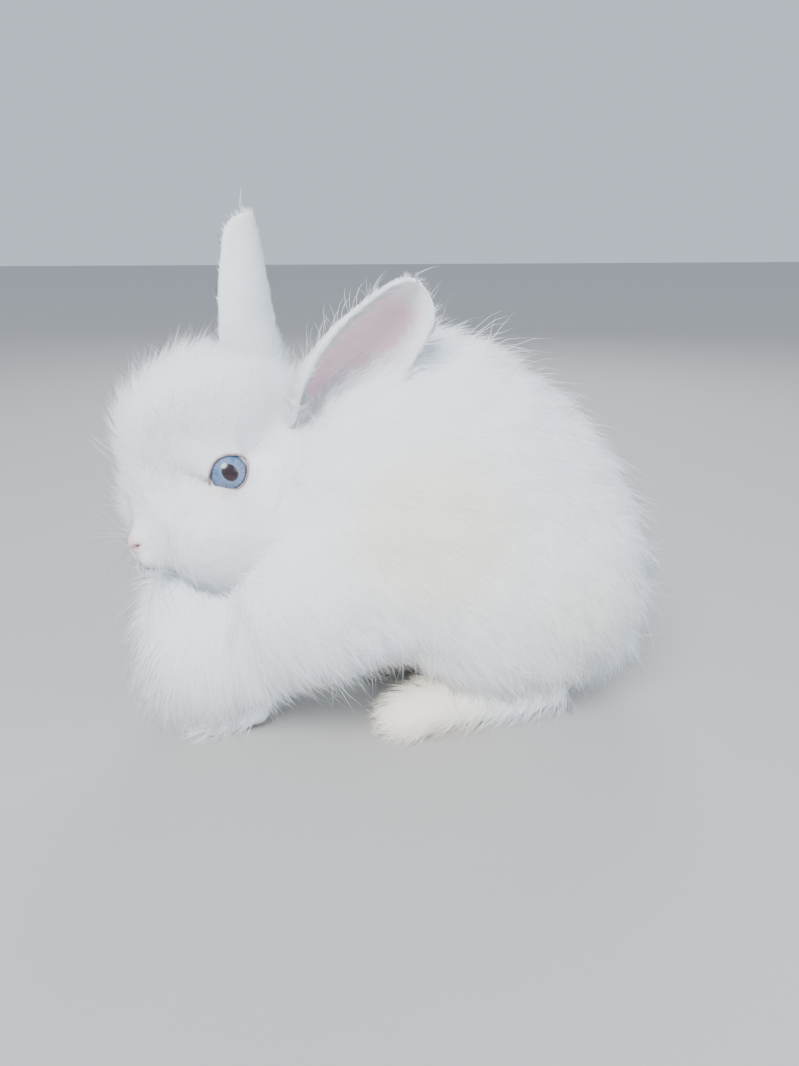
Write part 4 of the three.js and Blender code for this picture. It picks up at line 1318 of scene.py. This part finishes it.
left_half = wool_place[:, 1] < 0
front_part = wool_place[:, 0] < -8
rump_part = wool_place[:, 0] > 42
back_part = ~front_part & ~rump_part
low_part = wool_place[:, 2] < 66
body_regions = {
    "coat_bib_left": body_area & front_part & left_half & low_part,
    "coat_bib_right": body_area & front_part & ~left_half & low_part,
    "coat_neck": body_area & front_part & ~low_part,
    "coat_rump_left": body_area & rump_part & left_half,
    "coat_rump_right": body_area & rump_part & ~left_half,
    "coat_back_left": body_area & back_part & left_half,
    "coat_back_right": body_area & back_part & ~left_half,
}
body_total = sum(on_wool.area[region].sum() for region in body_regions.values())
for index, (name, region) in enumerate(body_regions.items()):
    share = on_wool.area[region].sum() / body_total
    strands = [
        grown(on_wool, region, BODY_TUFTS * share, body_kind, 100 + index),
        grown(on_wool, region, WISP_TUFTS * share, wisp_kind, 150 + index),
    ]
    coat_piece(name, strands, fur)

over_feet = ((wool_place[:, 0] > 22) & (wool_place[:, 0] < 80)) | (wool_place[:, 0] < -42)
hem = body_area & over_feet & (wool_place[:, 2] < 26) & (on_wool.normal[:, 2] > -0.75)
coat_piece("coat_hem", [grown(on_wool, hem, HEM_TUFTS, hem_kind, 170, hem_flow)], fur)

cheeks = head_area & (face_up <= 14)
head_regions = {
    "coat_head_top": head_area & (face_up > 14),
    "coat_cheek_left": cheeks & (face_left > 0),
    "coat_cheek_right": cheeks & (face_left <= 0),
}
head_total = sum(on_skin.area[region].sum() for region in head_regions.values())
for index, (name, region) in enumerate(head_regions.items()):
    tufts = HEAD_TUFTS * on_skin.area[region].sum() / head_total
    coat_piece(name, [grown(on_skin, region, tufts, head_kind, 200 + index)], face_fur)

ear_bases = []
for side in SIDES:
    base, _, along, opens, _ = ear_axes(side)
    close = head_skin & (reach_of(skin_place, base + along * 4 + opens * 5) < 13)
    lie = always(along)
    ear_bases.append(grown(on_skin, close, EAR_BASE_TUFTS, ear_base_kind, 330 + side, lie))
coat_piece("coat_ear_bases", ear_bases, face_fur)

pads = (np.abs(face_left) > 5) & (np.abs(face_left) < 10) & (face_up > -6.5) & (face_up < 0)
pads &= (face_back > 3.5) & (face_back < 12) & head_skin
strands = [
    grown(on_skin, pads, WHISKERS / DENSITY, whisker_kind, 310),
    grown(on_skin, brows & head_skin, BROW_HAIRS / DENSITY, brow_hair_kind, 311),
    grown(on_skin, head_area & (face_up > -8), FLYAWAYS, flyaway_kind, 312),
]
coat_piece("whiskers", strands, face_fur)
coat_piece("coat_face", [grown(on_skin, short_area, FACE_TUFTS, short_kind, 300)], face_fur)

forward = always(vec(-1, 0, -0.15))
for side, name in ((1, "coat_feet_left"), (-1, "coat_feet_right")):
    mine = on_foot & (on_skin.normal[:, 2] > -0.75) & (skin_place[:, 1] * side < 0)
    coat_piece(name, [grown(on_skin, mine, FOOT_TUFTS, foot_kind, 400, forward)], fur)

for side, name in ((1, "coat_ear_left"), (-1, "coat_ear_right")):
    count = on_skin.tris - ear_start(side)
    mine = (count[:, 0] >= 0) & (count[:, 0] < ear_count)
    hollow = in_hollow(count).all(1)
    share, aside = ear_place(side, skin_place)
    margin = mine & hollow & (np.abs(aside) > 0.7) & (share > 0.1) & (share < 0.92)
    back_edge = mine & ~hollow & (np.abs(aside) > 0.6) & (share > 0.25)
    wisps = EAR_WISPS if side > 0 else EAR_WISPS / 4
    strands = [
        grown(on_skin, mine & ~hollow, EAR_TUFTS, ear_kind(side), 500 + side, ear_flow(side)),
        grown(on_skin, margin, EAR_TUFTS / 4, ear_edge_kind, 510 + side, ear_edge_flow(side)),
        grown(on_skin, back_edge, wisps, ear_wisp_kind, 520 + side, ear_flow(side)),
    ]
    coat_piece(name, strands, face_fur)

# Floor, light and camera
# Painted light: the floor is coloured lighter far from the rabbit, where the lamps' light falls
# off, and darker round the rabbit
FLOOR_FAR_PAINTED_LIGHTER = (0.50, 0.495, 0.485)
FLOOR_ROUND_RABBIT = (0.43, 0.425, 0.415)
floor_mesh = mesh_of("floor", [(-6, -6, 0), (6, -6, 0), (6, 6, 0), (-6, 6, 0)], [(0, 1, 2, 3)])
floor = linked("floor", floor_mesh)
floor_look = Look("floor_look")
nearness = floor_look.near((0, 0, 0), 2600)
floor_look.coloured(floor_look.mixed(nearness, FLOOR_FAR_PAINTED_LIGHTER, FLOOR_ROUND_RABBIT), 0.8)
floor_mesh.materials.append(floor_look.material)

world = bpy.data.worlds.new("studio")
bpy.context.scene.world = world
world.use_nodes = True
world.node_tree.nodes["Background"].inputs[0].default_value = (0.76, 0.85, 1.0, 1)
world.node_tree.nodes["Background"].inputs[1].default_value = 0.85

# Each light's place, the point it shines on, its size, power and colour
LIGHTS = {
    "key": ((-0.45, -0.7, 0.95), (0, 0, 0.07), 0.7, 24, (1, 0.99, 0.98)),
    "fill": ((0.75, -0.55, 0.45), (0, 0, 0.07), 0.7, 3, (0.88, 0.94, 1)),
    "rim": ((0.25, 0.8, 0.7), (0, 0, 0.08), 0.5, 5, (0.95, 0.98, 1)),
}


def aimed(obj, place, heading):
    """Puts a light or a camera at a place and turns it."""
    obj.location = place
    obj.rotation_mode = "QUATERNION"
    obj.rotation_quaternion = heading.to_track_quat("-Z", "Y")


for name, (place, aim, size, power, colour) in LIGHTS.items():
    data = bpy.data.lights.new(name, "AREA")
    data.shape = "DISK"
    data.size = size
    data.energy = power
    data.color = colour
    aimed(linked(name, data), place, Vector(aim) - Vector(place))

AZIMUTH, ELEVATION, DISTANCE = math.radians(-12), math.radians(18), 0.300
PICTURE_HEIGHT, FOCAL_LENGTH, SENSOR = 1066, 900, 36
target = placed(vec(8, 0, 60))
back = vec(
    math.sin(AZIMUTH) * math.cos(ELEVATION),
    -math.cos(AZIMUTH) * math.cos(ELEVATION),
    math.sin(ELEVATION),
)
camera_data = bpy.data.cameras.new("camera")
camera_data.sensor_fit = "AUTO"
camera_data.sensor_width = SENSOR
camera_data.lens = FOCAL_LENGTH / PICTURE_HEIGHT * SENSOR
camera_data.clip_start = 0.01
camera = linked("camera", camera_data)
aimed(camera, Vector(target + back * DISTANCE), -Vector(back))
bpy.context.scene.camera = camera
